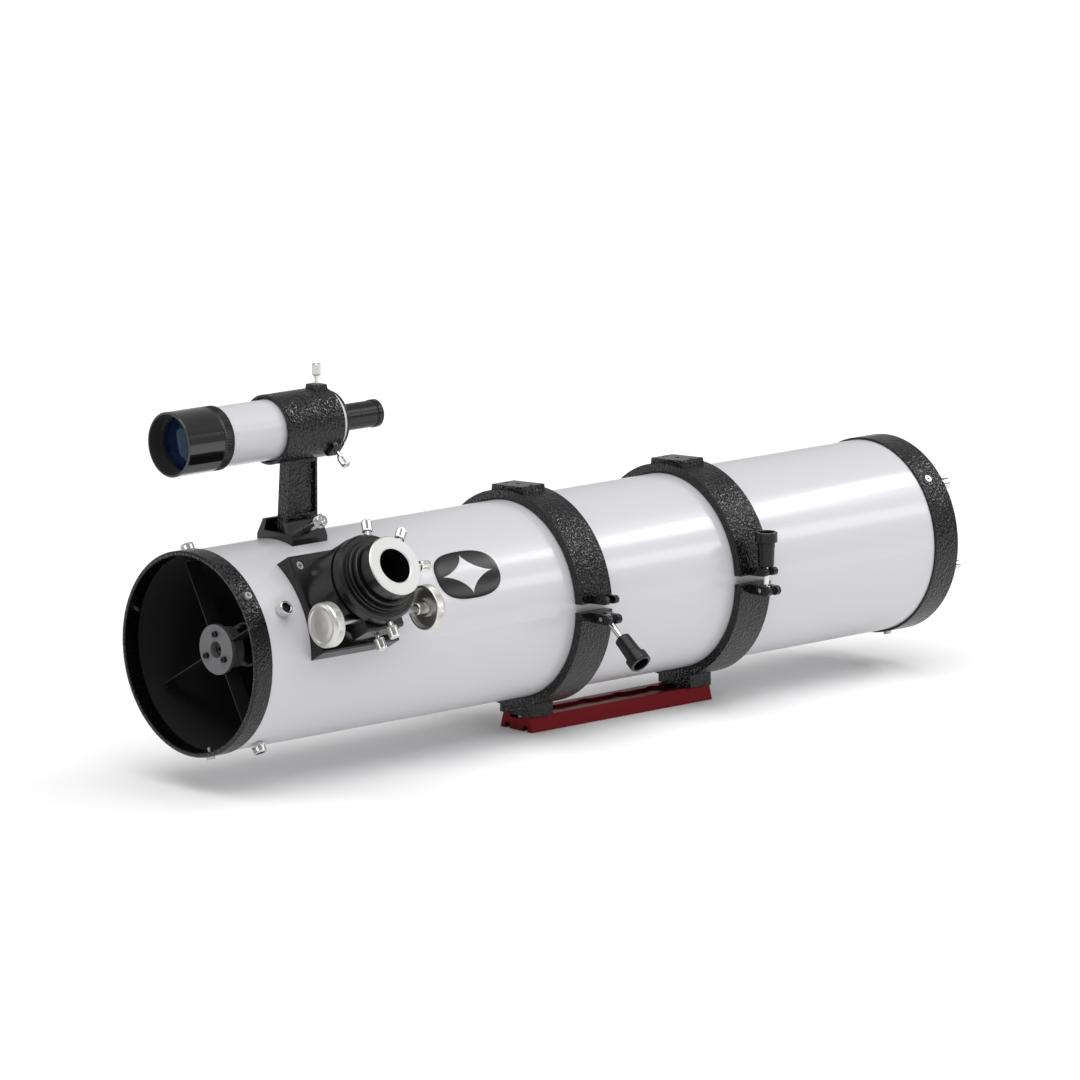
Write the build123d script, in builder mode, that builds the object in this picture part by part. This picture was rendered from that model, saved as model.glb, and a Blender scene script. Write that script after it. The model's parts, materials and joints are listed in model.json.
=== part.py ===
from build123d import *

import os
from math import atan2, cos, degrees, radians, sin

# A 150 mm Newtonian reflector, in millimetres. The tube lies along Y: its open
# mouth faces -Y and the mirror is at +Y. +Z is up and +X is the focuser's side.
# The origin is the middle of the dovetail bar's underside.
# Distances "back" are measured along the tube from its mouth.

# ---- Driving dimensions ---------------------------------------------------

# main tube and its end rings
tube_r = 90.5
tube_wall = 1.2
tube_length = 862.0
foot_drop = 9.9
mouth_to_origin = 502.0
front_ring_wall = 1.5
front_ring_width = 19.8
rear_ring_wall = 2.1
rear_ring_width = 30.5
end_lip = 3.0
mouth_lip = 2.8
tail_lip = 5.5
end_screw_angles = (41.3, 161.3, 281.3)
end_screw_head_r = 4.0
end_screw_r = 2.0

# cradle: two split rings on a dovetail bar
cradle_ring_back = 397.5
ring_spacing = 197.8
ring_width = 38.0
felt_space = 1.7
ring_wall = 7.4
ring_tilt = 3.5
felt_inset = 1.0
foot_length = 26.0
foot_shift = 4.5
foot_half_width = 21.6
pad_half_width = 20.5
pad_flare = 2.0
pad_rise = 3.3
pad_length = 27.0
pad_hole_spacing = 17.0
pad_hole_r = 2.5
pad_hole_depth = 8.5
bar_length = 225.0
bar_height = 14.0
bar_base_half = 21.5
bar_top_half = 17.6
bar_groove_width = 6.0
bar_groove_depth = 5.0
bar_block_half = 9.0
bar_channel_half = 8.5
bar_channel_depth = 3.0
bar_bolt_r = 3.0
bar_bolt_head_r = 5.0
bar_bolt_spacing = 13.0

# ring latch: fork lugs, swing bolt and knob
lug_width = 16.0
lug_slot = 6.4
lug_thickness = 8.6
lug_reach = 25.4
top_lug_thickness = 7.5
top_lug_reach = 21.9
top_lug_gap = 2.2
slot_root_reach = 7.9
latch_reach = 13.5
latch_pin_r = 2.0
bolt_eye_r = 4.2
bolt_r = 2.9
bolt_length = 44.0
open_bolt_angle = -38.0
knob_length = 32.0
knob_body_r = 7.4
knob_waist_r = 8.2
knob_rim_r = 10.4
knob_rim_length = 9.0
closed_knob_lift = 22.0
open_knob_lift = 25.4

# ring hinge on the far side
hinge_gap = 7.0
hinge_knuckle_r = 6.0
hinge_pin_r = 2.5
hinge_middle = 15.0
hinge_split = 0.8

# spider and secondary mirror
spider_back = 40.5
spider_angle = 30.0
vane_width = 16.0
vane_thickness = 1.0
vane_bolt_r = 2.0
thumb_nut_r = 6.2
thumb_nut_height = 9.0
hub_front = 32.0
hub_disc_r = 22.5
hub_disc_thickness = 4.0
hub_body_r = 19.0
hub_length = 17.0
secondary_r = 21.0
secondary_thickness = 6.0
holder_front = 60.0
collimation_screw_circle = 14.0
centre_bolt_r = 2.5

# primary mirror and its cell
mirror_edge_space = 9.0
mirror_face_inset = 53.0
mirror_edge = 22.0
mirror_sag = 1.6
plate_edge_space = 5.3
plate_thickness = 5.0
cell_thickness = 7.0
cell_gap = 10.0
cell_rim_width = 10.0
mirror_bolt_inset = 7.0
mirror_bolt_angle = 42.0
knob_tip_reach = 19.0
collimation_knob_r = 5.3
collimation_bolt_r = 2.5
lock_knob_r = 4.0
lock_bolt_r = 2.0
tilt_room = 1.4
plate_window_inset = 32.0
cell_window_inset = 29.0

# focuser, on an axis square to the tube
focuser_back = 110.0
focuser_angle = 30.0
base_half_length = 45.0
base_half_width = 46.0
base_rise = 6.5
base_screw_inset = 9.5
base_screw_r = 2.2
base_screw_length = 20.0
base_screw_head_r = 3.8
base_screw_sink = 2.6
housing_wall = 10.0
housing_height = 39.0
roller_space = 3.2
drawtube_r = 28.8
drawtube_wall = 3.35
drawtube_tail = 25.0
drawtube_flat_depth = 2.0
holder_flange = 12.0
holder_height = 14.0
holder_step_flange = 5.2
holder_step = 4.0
roller_r = 5.0
roller_width = 4.0
roller_angle = 38.0
shaft_r = 3.0
shaft_inset = 7.0
shaft_block_half = 21.0
shaft_block_thickness = 17.2
shaft_block_height = 24.0
focus_knob_r = 20.2
focus_knob_width = 11.0
focus_knob_offset = 59.0
adapter_height = 25.2
adapter_face_r = 27.5
adapter_ring_r = 31.0
barrel_gap = 0.1
adapter_barrel_length = 26.0
eyepiece_bore_r = 15.95
thumb_head_r = 4.8
thumb_head_length = 11.0
thumb_neck_r = 3.0
thumb_neck_length = 4.0
thumb_thread_r = 2.0

# finder telescope, bracket and shoe
finder_rise = 99.5
dew_cap_rise = 2.0
dew_cap_front = -20.3
dew_cap_back = 20.0
dew_cap_wall = 2.0
lock_ring_rise = 1.8
lock_ring_back = 31.7
finder_tube_r = 27.0
finder_tube_wall = 1.5
finder_tube_back = 163.4
bracket_front = 92.0
bracket_back = 157.5
bracket_wall = 2.3
o_ring_space = 2.0
eye_flange_back = 168.0
eye_barrel_r = 12.6
eye_barrel_back = 220.3
eye_lip_length = 6.0
objective_inset = 2.0
finder_screw_back = 150.7
finder_screw_angles = (90.0, -40.0)
plunger_angle = 220.0
stem_half_width = 6.8
stem_front_top = 113.5
stem_front_bottom = 110.0
stem_back = 145.4
stem_recess = 3.0
shoe_front = 101.0
shoe_back = 142.0
shoe_half_width = 24.0
shoe_rise = 16.8
shoe_top_half = 16.0
shoe_edge_rise = 2.0
pocket_floor_rise = 6.5
pocket_floor_half = 14.5
pocket_depth = 7.7
pocket_top_half = 11.8
clamp_back = 122.0
clamp_head_r = 6.0

# ---- Clearances -----------------------------------------------------------

running_gap = 0.05
felt_gap = 0.1
side_gap = 0.3
screw_gap = 0.35
eye_gap = 0.2

# ---- Sizes that follow from the pieces they fit ---------------------------

rear_end = tube_length + end_lip
tube_inner_r = tube_r - tube_wall
front_ring_r = tube_r + front_ring_wall
rear_ring_r = tube_r + rear_ring_wall
mouth_r = tube_r - mouth_lip
tail_r = tube_r - tail_lip

ring_inner_r = tube_r + felt_space
ring_outer_r = ring_inner_r + ring_wall
axis_height = bar_height + foot_drop + ring_outer_r
pad_top = ring_outer_r + pad_rise
lug_end = ring_outer_r + lug_reach
top_lug_end = ring_outer_r + top_lug_reach
slot_root = ring_outer_r + slot_root_reach
latch_x = ring_outer_r + latch_reach

plate_r = tube_inner_r - plate_edge_space
mirror_r = plate_r - mirror_edge_space
mirror_bolt_circle = plate_r - mirror_bolt_inset
mirror_face_back = rear_end - mirror_face_inset
knob_tip_back = rear_end + knob_tip_reach

base_top = tube_r + base_rise
housing_top = base_top + housing_height
housing_bore_r = drawtube_r + roller_space
housing_r = housing_bore_r + housing_wall
drawtube_bore_r = drawtube_r - drawtube_wall
drawtube_foot = base_top - drawtube_tail
drawtube_flat = drawtube_r - drawtube_flat_depth
holder_r = drawtube_r + holder_flange
holder_top = housing_top + holder_height
holder_step_r = drawtube_r + holder_step_flange
shaft_height = housing_top - shaft_inset
shaft_block_base = housing_top - shaft_block_height
shaft_block_depth = drawtube_flat + shaft_block_thickness
adapter_top = holder_top + adapter_height
adapter_barrel_r = drawtube_bore_r - barrel_gap
adapter_barrel_foot = holder_top - adapter_barrel_length

finder_height = tube_r + finder_rise
dew_cap_r = finder_tube_r + dew_cap_rise
lock_ring_r = finder_tube_r + lock_ring_rise
bracket_bore_r = finder_tube_r + o_ring_space
bracket_r = bracket_bore_r + bracket_wall
objective_r = finder_tube_r - objective_inset
shoe_top = tube_r + shoe_rise
shoe_edge = tube_r + shoe_edge_rise
pocket_floor = tube_r + pocket_floor_rise
pocket_top = pocket_floor + pocket_depth

# ---- Places and directions ------------------------------------------------

mouth = Vector(0, -mouth_to_origin, axis_height)


def back(distance, x=0.0, z=0.0):
    """A point that far back from the mouth, offset from the tube's axis."""
    return mouth + Vector(x, distance, z)


def section(distance, turn=0.0):
    """Plane across the tube facing the mouth: local x and y are X and Z, turned."""
    level = Vector(cos(radians(turn)), 0, sin(radians(turn)))
    return Plane(origin=back(distance), x_dir=level, z_dir=(0, -1, 0))


def radial(angle):
    """Unit vector square to the tube at an angle from +X towards +Z."""
    return Vector(cos(radians(angle)), 0, sin(radians(angle)))


def outward(angle, distance, radius):
    """Plane square to a radius of the tube: local x is +Y, local z points out."""
    spot = back(distance) + radial(angle) * radius
    return Plane(origin=spot, x_dir=(0, 1, 0), z_dir=radial(angle))


def focuser(height):
    """Plane square to the focuser's axis at a height above the tube's axis."""
    return outward(focuser_angle, focuser_back, height)


def lengthwise(origin, direction, side=(0, -1, 0)):
    """Plane that holds a turned piece's profile: local x runs along its axis."""
    return Plane(origin=origin, x_dir=direction, z_dir=side)


def turned(plane, profile):
    """A piece turned about the plane's x axis from (along, radius) points."""
    with BuildPart() as piece:
        with BuildSketch(plane):
            with BuildLine():
                Polyline(profile, close=True)
            make_face()
        revolve(axis=Axis(plane.origin, plane.x_dir))
    return piece


tube_side = lengthwise(mouth, (0, 1, 0), (1, 0, 0))
finder_side = lengthwise(back(0, z=finder_height), (0, 1, 0), (1, 0, 0))
focuser_side = lengthwise(back(focuser_back), radial(focuser_angle), (0, 1, 0))
focuser_up = radial(focuser_angle + 90)
ring_backs = (cradle_ring_back, cradle_ring_back + ring_spacing)

# ---- Cradle: dovetail bar, rings, felt and pins ---------------------------

foot_bottom = axis_height - bar_height
latch_z = -lug_thickness / 2
hinge_x = -(ring_outer_r + hinge_gap)

with BuildPart() as dovetail_bar:
    with BuildSketch(Plane(origin=(0, -bar_length / 2, 0), x_dir=(1, 0, 0), z_dir=(0, -1, 0))):
        with BuildLine():
            Polyline(
                (-bar_base_half, 0),
                (bar_base_half, 0),
                (bar_top_half, bar_height),
                (-bar_top_half, bar_height),
                close=True,
            )
        make_face()
        groove_middle = bar_block_half + bar_groove_width / 2
        with Locations((groove_middle, 0), (-groove_middle, 0)):
            Rectangle(bar_groove_width, 2 * bar_groove_depth, mode=Mode.SUBTRACT)
        with Locations((0, bar_height)):
            Rectangle(2 * bar_channel_half, 2 * bar_channel_depth, mode=Mode.SUBTRACT)
    extrude(amount=-bar_length)
    # round bays widen the channel between the ring feet
    bay_pitch = (ring_spacing - foot_length) / 4
    with BuildSketch(Plane.XY.offset(bar_height)):
        with Locations([((0, (i - 1.5) * bay_pitch)) for i in range(4)]):
            Circle(bar_channel_half + 3.0)
    extrude(amount=-bar_channel_depth, mode=Mode.SUBTRACT)
    for ring_back in ring_backs:
        foot_y = ring_back + foot_shift - mouth_to_origin
        for step in (-bar_bolt_spacing / 2, bar_bolt_spacing / 2):
            with BuildSketch(Plane(origin=(0, foot_y + step, 0))):
                Circle(bar_bolt_r)
            extrude(amount=bar_height, mode=Mode.SUBTRACT)
            with BuildSketch(Plane(origin=(0, foot_y + step, 0))):
                Circle(bar_bolt_head_r + side_gap)
            extrude(amount=bar_groove_depth, mode=Mode.SUBTRACT)

bolt_reach = bar_height + 7.0
with BuildPart() as dovetail_bolts:
    for ring_back in ring_backs:
        foot_y = ring_back + foot_shift - mouth_to_origin
        for step in (-bar_bolt_spacing / 2, bar_bolt_spacing / 2):
            with BuildSketch(Plane(origin=(0, foot_y + step, 0.5))):
                Circle(bar_bolt_head_r)
                RegularPolygon(2.4, 6, mode=Mode.SUBTRACT)
            extrude(amount=2.5)
            with BuildSketch(Plane(origin=(0, foot_y + step, 3.0))):
                Circle(bar_bolt_head_r)
            extrude(amount=bar_groove_depth - 3.0)
            with BuildSketch(Plane(origin=(0, foot_y + step, bar_groove_depth))):
                Circle(bar_bolt_r)
            extrude(amount=bolt_reach - bar_groove_depth)


def half_ring(ring_back, inner, outer, width, turn, cuts):
    """Half of a ring round the tube. cuts are (x side, height, side kept) at its ends."""
    with BuildSketch(section(ring_back - width / 2, turn)) as outline:
        Circle(outer)
        Circle(inner, mode=Mode.SUBTRACT)
        for side, height, keep in cuts:
            with Locations((side * outer, height)):
                Rectangle(2 * outer, 3 * outer, align=(Align.CENTER, keep), mode=Mode.SUBTRACT)
    extrude(outline.sketch, amount=-width)


lower_cuts = ((1, 0.0, Align.MIN), (-1, 0.0, Align.MIN))
upper_left_cut = hinge_split + ring_outer_r * sin(radians(ring_tilt))
upper_cuts = ((1, top_lug_gap, Align.MAX), (-1, upper_left_cut, Align.MAX))


def lower_ring(ring_back):
    """Lower half of a tube ring, with its foot, fork lug and outer hinge knuckles."""
    with BuildPart() as ring:
        half_ring(ring_back, ring_inner_r, ring_outer_r, ring_width, 0.0, lower_cuts)
        # foot that stands on the dovetail bar
        with BuildSketch(section(ring_back + foot_shift - foot_length / 2)):
            with Locations((0, -foot_bottom)):
                Rectangle(2 * foot_half_width, 22.0, align=(Align.CENTER, Align.MIN))
            Circle(ring_inner_r, mode=Mode.SUBTRACT)
        extrude(amount=-foot_length)
        for step in (-bar_bolt_spacing / 2, bar_bolt_spacing / 2):
            hole_y = ring_back + foot_shift - mouth_to_origin + step
            with BuildSketch(Plane(origin=(0, hole_y, bar_height))):
                Circle(bar_bolt_r)
            extrude(amount=bolt_reach - bar_height, mode=Mode.SUBTRACT)
        # fork lug, rounded at its end and slotted for the swing bolt
        with BuildSketch(section(ring_back - lug_width / 2)):
            with Locations((ring_inner_r + 3.0, 0)):
                Rectangle(
                    lug_end - ring_inner_r - 3.0 - lug_thickness / 2,
                    lug_thickness,
                    align=(Align.MIN, Align.MAX),
                )
            with Locations((lug_end - lug_thickness / 2, latch_z)):
                Circle(lug_thickness / 2)
        extrude(amount=-lug_width)
        with BuildSketch(section(ring_back - lug_slot / 2)):
            with Locations((slot_root, -lug_thickness - 1)):
                Rectangle(lug_end, lug_thickness + 2, align=(Align.MIN, Align.MIN))
        extrude(amount=-lug_slot, mode=Mode.SUBTRACT)
        with BuildSketch(section(ring_back - lug_width / 2)):
            with Locations((latch_x, latch_z)):
                Circle(latch_pin_r)
        extrude(amount=-lug_width, mode=Mode.SUBTRACT)
        # outer hinge knuckles
        knuckle = (ring_width - hinge_middle) / 2 - side_gap
        for start in (-ring_width / 2, ring_width / 2 - knuckle):
            with BuildSketch(section(ring_back + start)):
                with Locations((hinge_x, 0)):
                    Circle(hinge_knuckle_r)
                with BuildLine():
                    Polyline(
                        (hinge_x, -hinge_split),
                        (hinge_x, -hinge_knuckle_r),
                        (-ring_inner_r - 3, -16),
                        (-ring_inner_r - 3, -hinge_split),
                        close=True,
                    )
                make_face()
                with Locations((hinge_x, 0)):
                    Circle(hinge_pin_r, mode=Mode.SUBTRACT)
            extrude(amount=-knuckle)
    return ring


def upper_ring(ring_back):
    """Upper half of a tube ring, with its top pad, fork lug and middle knuckle."""
    with BuildPart() as ring:
        half_ring(ring_back, ring_inner_r, ring_outer_r, ring_width, ring_tilt, upper_cuts)
        with BuildSketch(section(ring_back - pad_length / 2, ring_tilt)):
            with BuildLine():
                Polyline(
                    (-pad_half_width - pad_flare, ring_inner_r),
                    (pad_half_width + pad_flare, ring_inner_r),
                    (pad_half_width, pad_top),
                    (-pad_half_width, pad_top),
                    close=True,
                )
            make_face()
            Circle(ring_inner_r, mode=Mode.SUBTRACT)
        extrude(amount=-pad_length)
        top = outward(90 + ring_tilt, ring_back, pad_top)
        with BuildSketch(top):
            with Locations([(0, i * pad_hole_spacing) for i in (-1, 0, 1)]):
                Circle(pad_hole_r)
        extrude(amount=-pad_hole_depth, mode=Mode.SUBTRACT)
        # fork lug above the lower one, open outwards
        with BuildSketch(section(ring_back - lug_width / 2, ring_tilt)):
            with Locations((ring_inner_r + 3.0, top_lug_gap)):
                lug_outline = Rectangle(
                    top_lug_end - ring_inner_r - 3.0,
                    top_lug_thickness,
                    align=(Align.MIN, Align.MIN),
                )
            outer_corners = lug_outline.vertices().group_by(Axis.X)[-1]
            fillet(outer_corners, top_lug_thickness / 2 - 0.2)
        extrude(amount=-lug_width)
        with BuildSketch(section(ring_back - lug_slot / 2, ring_tilt)):
            with Locations((slot_root + 1.5, 0)):
                Rectangle(lug_end, 3 * top_lug_thickness, align=(Align.MIN, Align.MIN))
        extrude(amount=-lug_slot, mode=Mode.SUBTRACT)
        # middle hinge knuckle
        with BuildSketch(section(ring_back - hinge_middle / 2)):
            with Locations((hinge_x, 0)):
                Circle(hinge_knuckle_r)
            with BuildLine():
                Polyline(
                    (hinge_x, hinge_split),
                    (hinge_x, hinge_knuckle_r),
                    (-ring_inner_r - 3, 16),
                    (-ring_inner_r - 3, hinge_split + 0.5),
                    close=True,
                )
            make_face()
            with Locations((hinge_x, 0)):
                Circle(hinge_pin_r + running_gap, mode=Mode.SUBTRACT)
        extrude(amount=-hinge_middle)
    return ring


front_ring_lower = lower_ring(ring_backs[0])
rear_ring_lower = lower_ring(ring_backs[1])
front_ring_upper = upper_ring(ring_backs[0])
rear_ring_upper = upper_ring(ring_backs[1])

felt_width = ring_width - 2 * felt_inset
felt_inner_r = tube_r + felt_gap
with BuildPart() as ring_felts:
    half_ring(ring_backs[0], felt_inner_r, ring_inner_r, felt_width, 0.0, lower_cuts)
    half_ring(ring_backs[1], felt_inner_r, ring_inner_r, felt_width, 0.0, lower_cuts)
    half_ring(ring_backs[1], felt_inner_r, ring_inner_r, felt_width, ring_tilt, upper_cuts)

with BuildPart() as front_ring_upper_felt:
    half_ring(ring_backs[0], felt_inner_r, ring_inner_r, felt_width, ring_tilt, upper_cuts)

with BuildPart() as ring_pins:
    for ring_back in ring_backs:
        with BuildSketch(section(ring_back - ring_width / 2)):
            with Locations((hinge_x, 0)):
                Circle(hinge_pin_r)
        extrude(amount=-ring_width)
        with BuildSketch(section(ring_back - lug_width / 2)):
            with Locations((latch_x, latch_z)):
                Circle(latch_pin_r)
        extrude(amount=-lug_width)

# ---- Swing bolts and ring knobs -------------------------------------------


def swing_bolt(ring_back, angle):
    """Eye bolt on the latch pin. angle is its direction from +X towards +Z."""
    eye_width = lug_slot - 2 * eye_gap
    with BuildPart() as bolt:
        pin_middle = back(ring_back, latch_x, latch_z)
        with BuildSketch(Plane(origin=pin_middle, x_dir=(0, 1, 0), z_dir=radial(angle))):
            Circle(bolt_r)
        extrude(amount=bolt_length)
        with BuildSketch(section(ring_back - eye_width / 2)):
            with Locations((latch_x, latch_z)):
                Circle(bolt_eye_r)
        extrude(amount=-eye_width)
        with BuildSketch(section(ring_back - lug_width / 2)):
            with Locations((latch_x, latch_z)):
                Circle(latch_pin_r + running_gap)
        extrude(amount=-lug_width, mode=Mode.SUBTRACT)
    return bolt


def ring_knob(ring_back, angle, lift):
    """Stepped hollow-ended knob on a swing bolt, lift above its pin."""
    hole = bolt_r + running_gap
    step = lift + knob_length - knob_rim_length
    end = lift + knob_length
    cup = end - knob_rim_length
    profile = [
        (lift, hole),
        (lift, knob_body_r - 0.8),
        (lift + 0.8, knob_body_r),
        (step - 6.0, knob_waist_r - 0.3),
        (step - 5.0, knob_waist_r),
        (step - 1.0, knob_waist_r),
        (step, knob_rim_r),
        (end - 0.8, knob_rim_r),
        (end, knob_rim_r - 0.8),
        (end, knob_rim_r - 2.6),
        (cup, knob_body_r - 1.0),
        (cup, hole),
    ]
    return turned(lengthwise(back(ring_back, latch_x, latch_z), radial(angle)), profile)


front_swing_bolt = swing_bolt(ring_backs[0], open_bolt_angle)
rear_swing_bolt = swing_bolt(ring_backs[1], 90.0)
front_ring_knob = ring_knob(ring_backs[0], open_bolt_angle, open_knob_lift)
rear_ring_knob = ring_knob(ring_backs[1], 90.0, closed_knob_lift)

# ---- Main tube, end rings and their screws --------------------------------

front_screw_back = front_ring_width / 2
rear_ring_start = rear_end - rear_ring_width
rear_screw_back = rear_ring_start + rear_ring_width / 3
spider_angles = [spider_angle + 90 * i for i in range(4)]
base_screw_x = base_half_length - base_screw_inset
base_screw_y = base_half_width - base_screw_inset

with BuildPart() as main_tube:
    with BuildSketch(section(end_lip)):
        Circle(tube_r)
        Circle(tube_inner_r, mode=Mode.SUBTRACT)
    extrude(amount=-(tube_length - end_lip))
    with BuildSketch(focuser(tube_inner_r - 20)):
        Circle(housing_bore_r)
    extrude(amount=40, mode=Mode.SUBTRACT)
    with BuildSketch(focuser(base_top)):
        with GridLocations(2 * base_screw_x, 2 * base_screw_y, 2, 2):
            Circle(base_screw_r)
    extrude(amount=-base_screw_length, mode=Mode.SUBTRACT)
    for angle in spider_angles:
        with BuildSketch(outward(angle, spider_back, tube_inner_r - 3)):
            Circle(vane_bolt_r + side_gap)
        extrude(amount=6, mode=Mode.SUBTRACT)
    for angle in end_screw_angles:
        for screw_back in (front_screw_back, rear_screw_back):
            with BuildSketch(outward(angle, screw_back, tube_inner_r - 3)):
                Circle(end_screw_r)
            extrude(amount=6, mode=Mode.SUBTRACT)

front_end_ring = turned(
    tube_side,
    [
        (0.8, mouth_r),
        (0, mouth_r + 0.8),
        (0, front_ring_r - 1.5),
        (1.5, front_ring_r),
        (front_ring_width - 0.8, front_ring_r),
        (front_ring_width, front_ring_r - 0.8),
        (front_ring_width, tube_r),
        (end_lip, tube_r),
        (end_lip, tube_inner_r),
        (front_ring_width - 4, tube_inner_r),
        (front_ring_width - 4, mouth_r),
    ],
)

rear_end_ring = turned(
    tube_side,
    [
        (rear_end - 0.8, tail_r),
        (rear_end, tail_r + 0.8),
        (rear_end, rear_ring_r - 1.5),
        (rear_end - 1.5, rear_ring_r),
        (rear_ring_start + 0.8, rear_ring_r),
        (rear_ring_start, rear_ring_r - 0.8),
        (rear_ring_start, tube_r),
        (tube_length, tube_r),
        (tube_length, tail_r),
    ],
)

for ring, screw_back in ((front_end_ring, front_screw_back), (rear_end_ring, rear_screw_back)):
    with ring:
        for angle in end_screw_angles:
            with BuildSketch(outward(angle, screw_back, mouth_r - 6)) as hole:
                Circle(end_screw_r)
            extrude(hole.sketch, amount=14, mode=Mode.SUBTRACT)


def pan_head_screw(angle, distance, seat_r, reach, head_r, shank_r, head_height=2.6):
    """Pan-head screw along a radius, its head seated at seat_r."""
    with BuildSketch(outward(angle, distance, seat_r)) as head:
        Circle(head_r)
    extrude(head.sketch, amount=head_height, taper=12)
    with BuildSketch(outward(angle, distance, seat_r)) as shank:
        Circle(shank_r)
    extrude(shank.sketch, amount=-reach)
    with BuildSketch(outward(angle, distance, seat_r + head_height)) as slot:
        Rectangle(0.26 * head_r, 1.1 * head_r)
        Rectangle(1.1 * head_r, 0.26 * head_r)
    extrude(slot.sketch, amount=-0.5 * head_height, mode=Mode.SUBTRACT)


with BuildPart() as end_ring_screws:
    for angle in end_screw_angles:
        pan_head_screw(angle, front_screw_back, front_ring_r, 8.0, end_screw_head_r, end_screw_r)
        pan_head_screw(angle, rear_screw_back, rear_ring_r, 7.0, end_screw_head_r, end_screw_r)

# ---- Spider, hub and secondary mirror -------------------------------------

vane_end = tube_inner_r - 6.0

with BuildPart() as spider_vanes:
    for angle in spider_angles:
        # thin blade from the hub, then a bent tab that takes the bolt
        with BuildSketch(outward(angle, spider_back, hub_body_r)):
            Rectangle(vane_width, vane_thickness)
        extrude(amount=vane_end - hub_body_r)
        with BuildSketch(outward(angle, spider_back, vane_end)):
            Rectangle(12.0, 9.0)
        extrude(amount=1.5)
        # bolt from the tab out through the tube wall
        with BuildSketch(outward(angle, spider_back, vane_end + 1.5)):
            Circle(vane_bolt_r)
        extrude(amount=tube_r + 6.0 - vane_end - 1.5)

with BuildPart() as spider_thumb_nuts:
    for angle in spider_angles:
        with BuildSketch(outward(angle, spider_back, tube_r + 0.6)):
            Circle(thumb_nut_r)
        extrude(amount=thumb_nut_height)
        with BuildSketch(outward(angle, spider_back, tube_r + 0.6)):
            Circle(vane_bolt_r)
        extrude(amount=thumb_nut_height, mode=Mode.SUBTRACT)
        with BuildSketch(outward(angle, spider_back, tube_r + 6.0)):
            Circle(thumb_nut_r - 2.0)
        extrude(amount=thumb_nut_height, mode=Mode.SUBTRACT)

screw_angles = [90 + 120 * i for i in range(3)]
screw_spots = [
    (collimation_screw_circle * cos(radians(a)), collimation_screw_circle * sin(radians(a)))
    for a in screw_angles
]

with BuildPart() as spider_hub:
    with BuildSketch(section(hub_front)):
        Circle(hub_disc_r)
    extrude(amount=-hub_disc_thickness)
    with BuildSketch(section(hub_front + hub_disc_thickness)):
        Circle(hub_body_r)
    extrude(amount=-(hub_length - hub_disc_thickness))
    with BuildSketch(section(hub_front)):
        Circle(7.5)
    extrude(amount=-8.0, mode=Mode.SUBTRACT)
    for angle in spider_angles:
        with BuildSketch(outward(angle, spider_back, hub_body_r)):
            Rectangle(vane_width, vane_thickness)
        extrude(amount=hub_disc_r, mode=Mode.SUBTRACT)
    with BuildSketch(section(hub_front)):
        Circle(centre_bolt_r)
        with Locations(screw_spots):
            Circle(1.5)
    extrude(amount=-hub_length, mode=Mode.SUBTRACT)

with BuildPart() as secondary_screws:
    # centre bolt that carries the holder
    with BuildSketch(section(hub_front + 4.0)):
        Circle(4.5)
        RegularPolygon(2.0, 6, mode=Mode.SUBTRACT)
    extrude(amount=-4.0)
    with BuildSketch(section(hub_front + 8.0)):
        Circle(centre_bolt_r)
    extrude(amount=-(holder_front + 6.0 - hub_front - 8.0))
    # three cap screws that tilt it
    with BuildSketch(section(hub_front - 3.0)):
        with Locations(screw_spots):
            Circle(2.8)
            RegularPolygon(1.3, 6, mode=Mode.SUBTRACT)
    extrude(amount=-1.8)
    with BuildSketch(section(hub_front - 1.2)):
        with Locations(screw_spots):
            Circle(2.8)
    extrude(amount=-1.2)
    with BuildSketch(section(hub_front)):
        with Locations(screw_spots):
            Circle(1.5)
    extrude(amount=-(holder_front - side_gap - hub_front))

mirror_normal = (radial(focuser_angle) + Vector(0, 1, 0)).normalized()
diagonal = Plane(origin=back(focuser_back), x_dir=radial(focuser_angle + 90), z_dir=mirror_normal)

with BuildPart() as secondary_holder:
    with BuildSketch(section(holder_front)):
        Circle(collimation_screw_circle + 4.0)
        Circle(centre_bolt_r + running_gap, mode=Mode.SUBTRACT)
    extrude(amount=-6.0)
    with BuildSketch(section(holder_front + 6.0)):
        Circle(secondary_r - 1.2)
    extrude(amount=-(focuser_back + secondary_r - holder_front - 6.0))
    split(bisect_by=diagonal.offset(-secondary_thickness), keep=Keep.BOTTOM)

with BuildPart() as secondary_mirror:
    with BuildSketch(section(focuser_back - 3 * secondary_r)):
        Circle(secondary_r)
    extrude(amount=-6 * secondary_r)
    split(bisect_by=diagonal, keep=Keep.BOTTOM)
    split(bisect_by=diagonal.offset(-secondary_thickness), keep=Keep.TOP)

# ---- Primary mirror, its plate and its cell -------------------------------

mirror_bottom = mirror_face_back + mirror_edge
plate_bottom = mirror_bottom + plate_thickness
cell_front = plate_bottom + cell_gap
cell_back = cell_front + cell_thickness
knob_angles = [mirror_bolt_angle + 120 * i for i in range(3)]
lock_angles = [mirror_bolt_angle - 60 + 120 * i for i in range(3)]


def on_circle(radius, angles):
    """Places at one radius round the tube's axis."""
    return [(radius * cos(radians(a)), radius * sin(radians(a))) for a in angles]


primary_mirror = turned(
    tube_side,
    [
        (mirror_face_back + mirror_sag, 0),
        (mirror_face_back + mirror_sag * 0.75, mirror_r / 2),
        (mirror_face_back, mirror_r - 1.0),
        (mirror_face_back + 1.0, mirror_r),
        (mirror_bottom, mirror_r),
        (mirror_bottom, 0),
    ],
)

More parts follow.
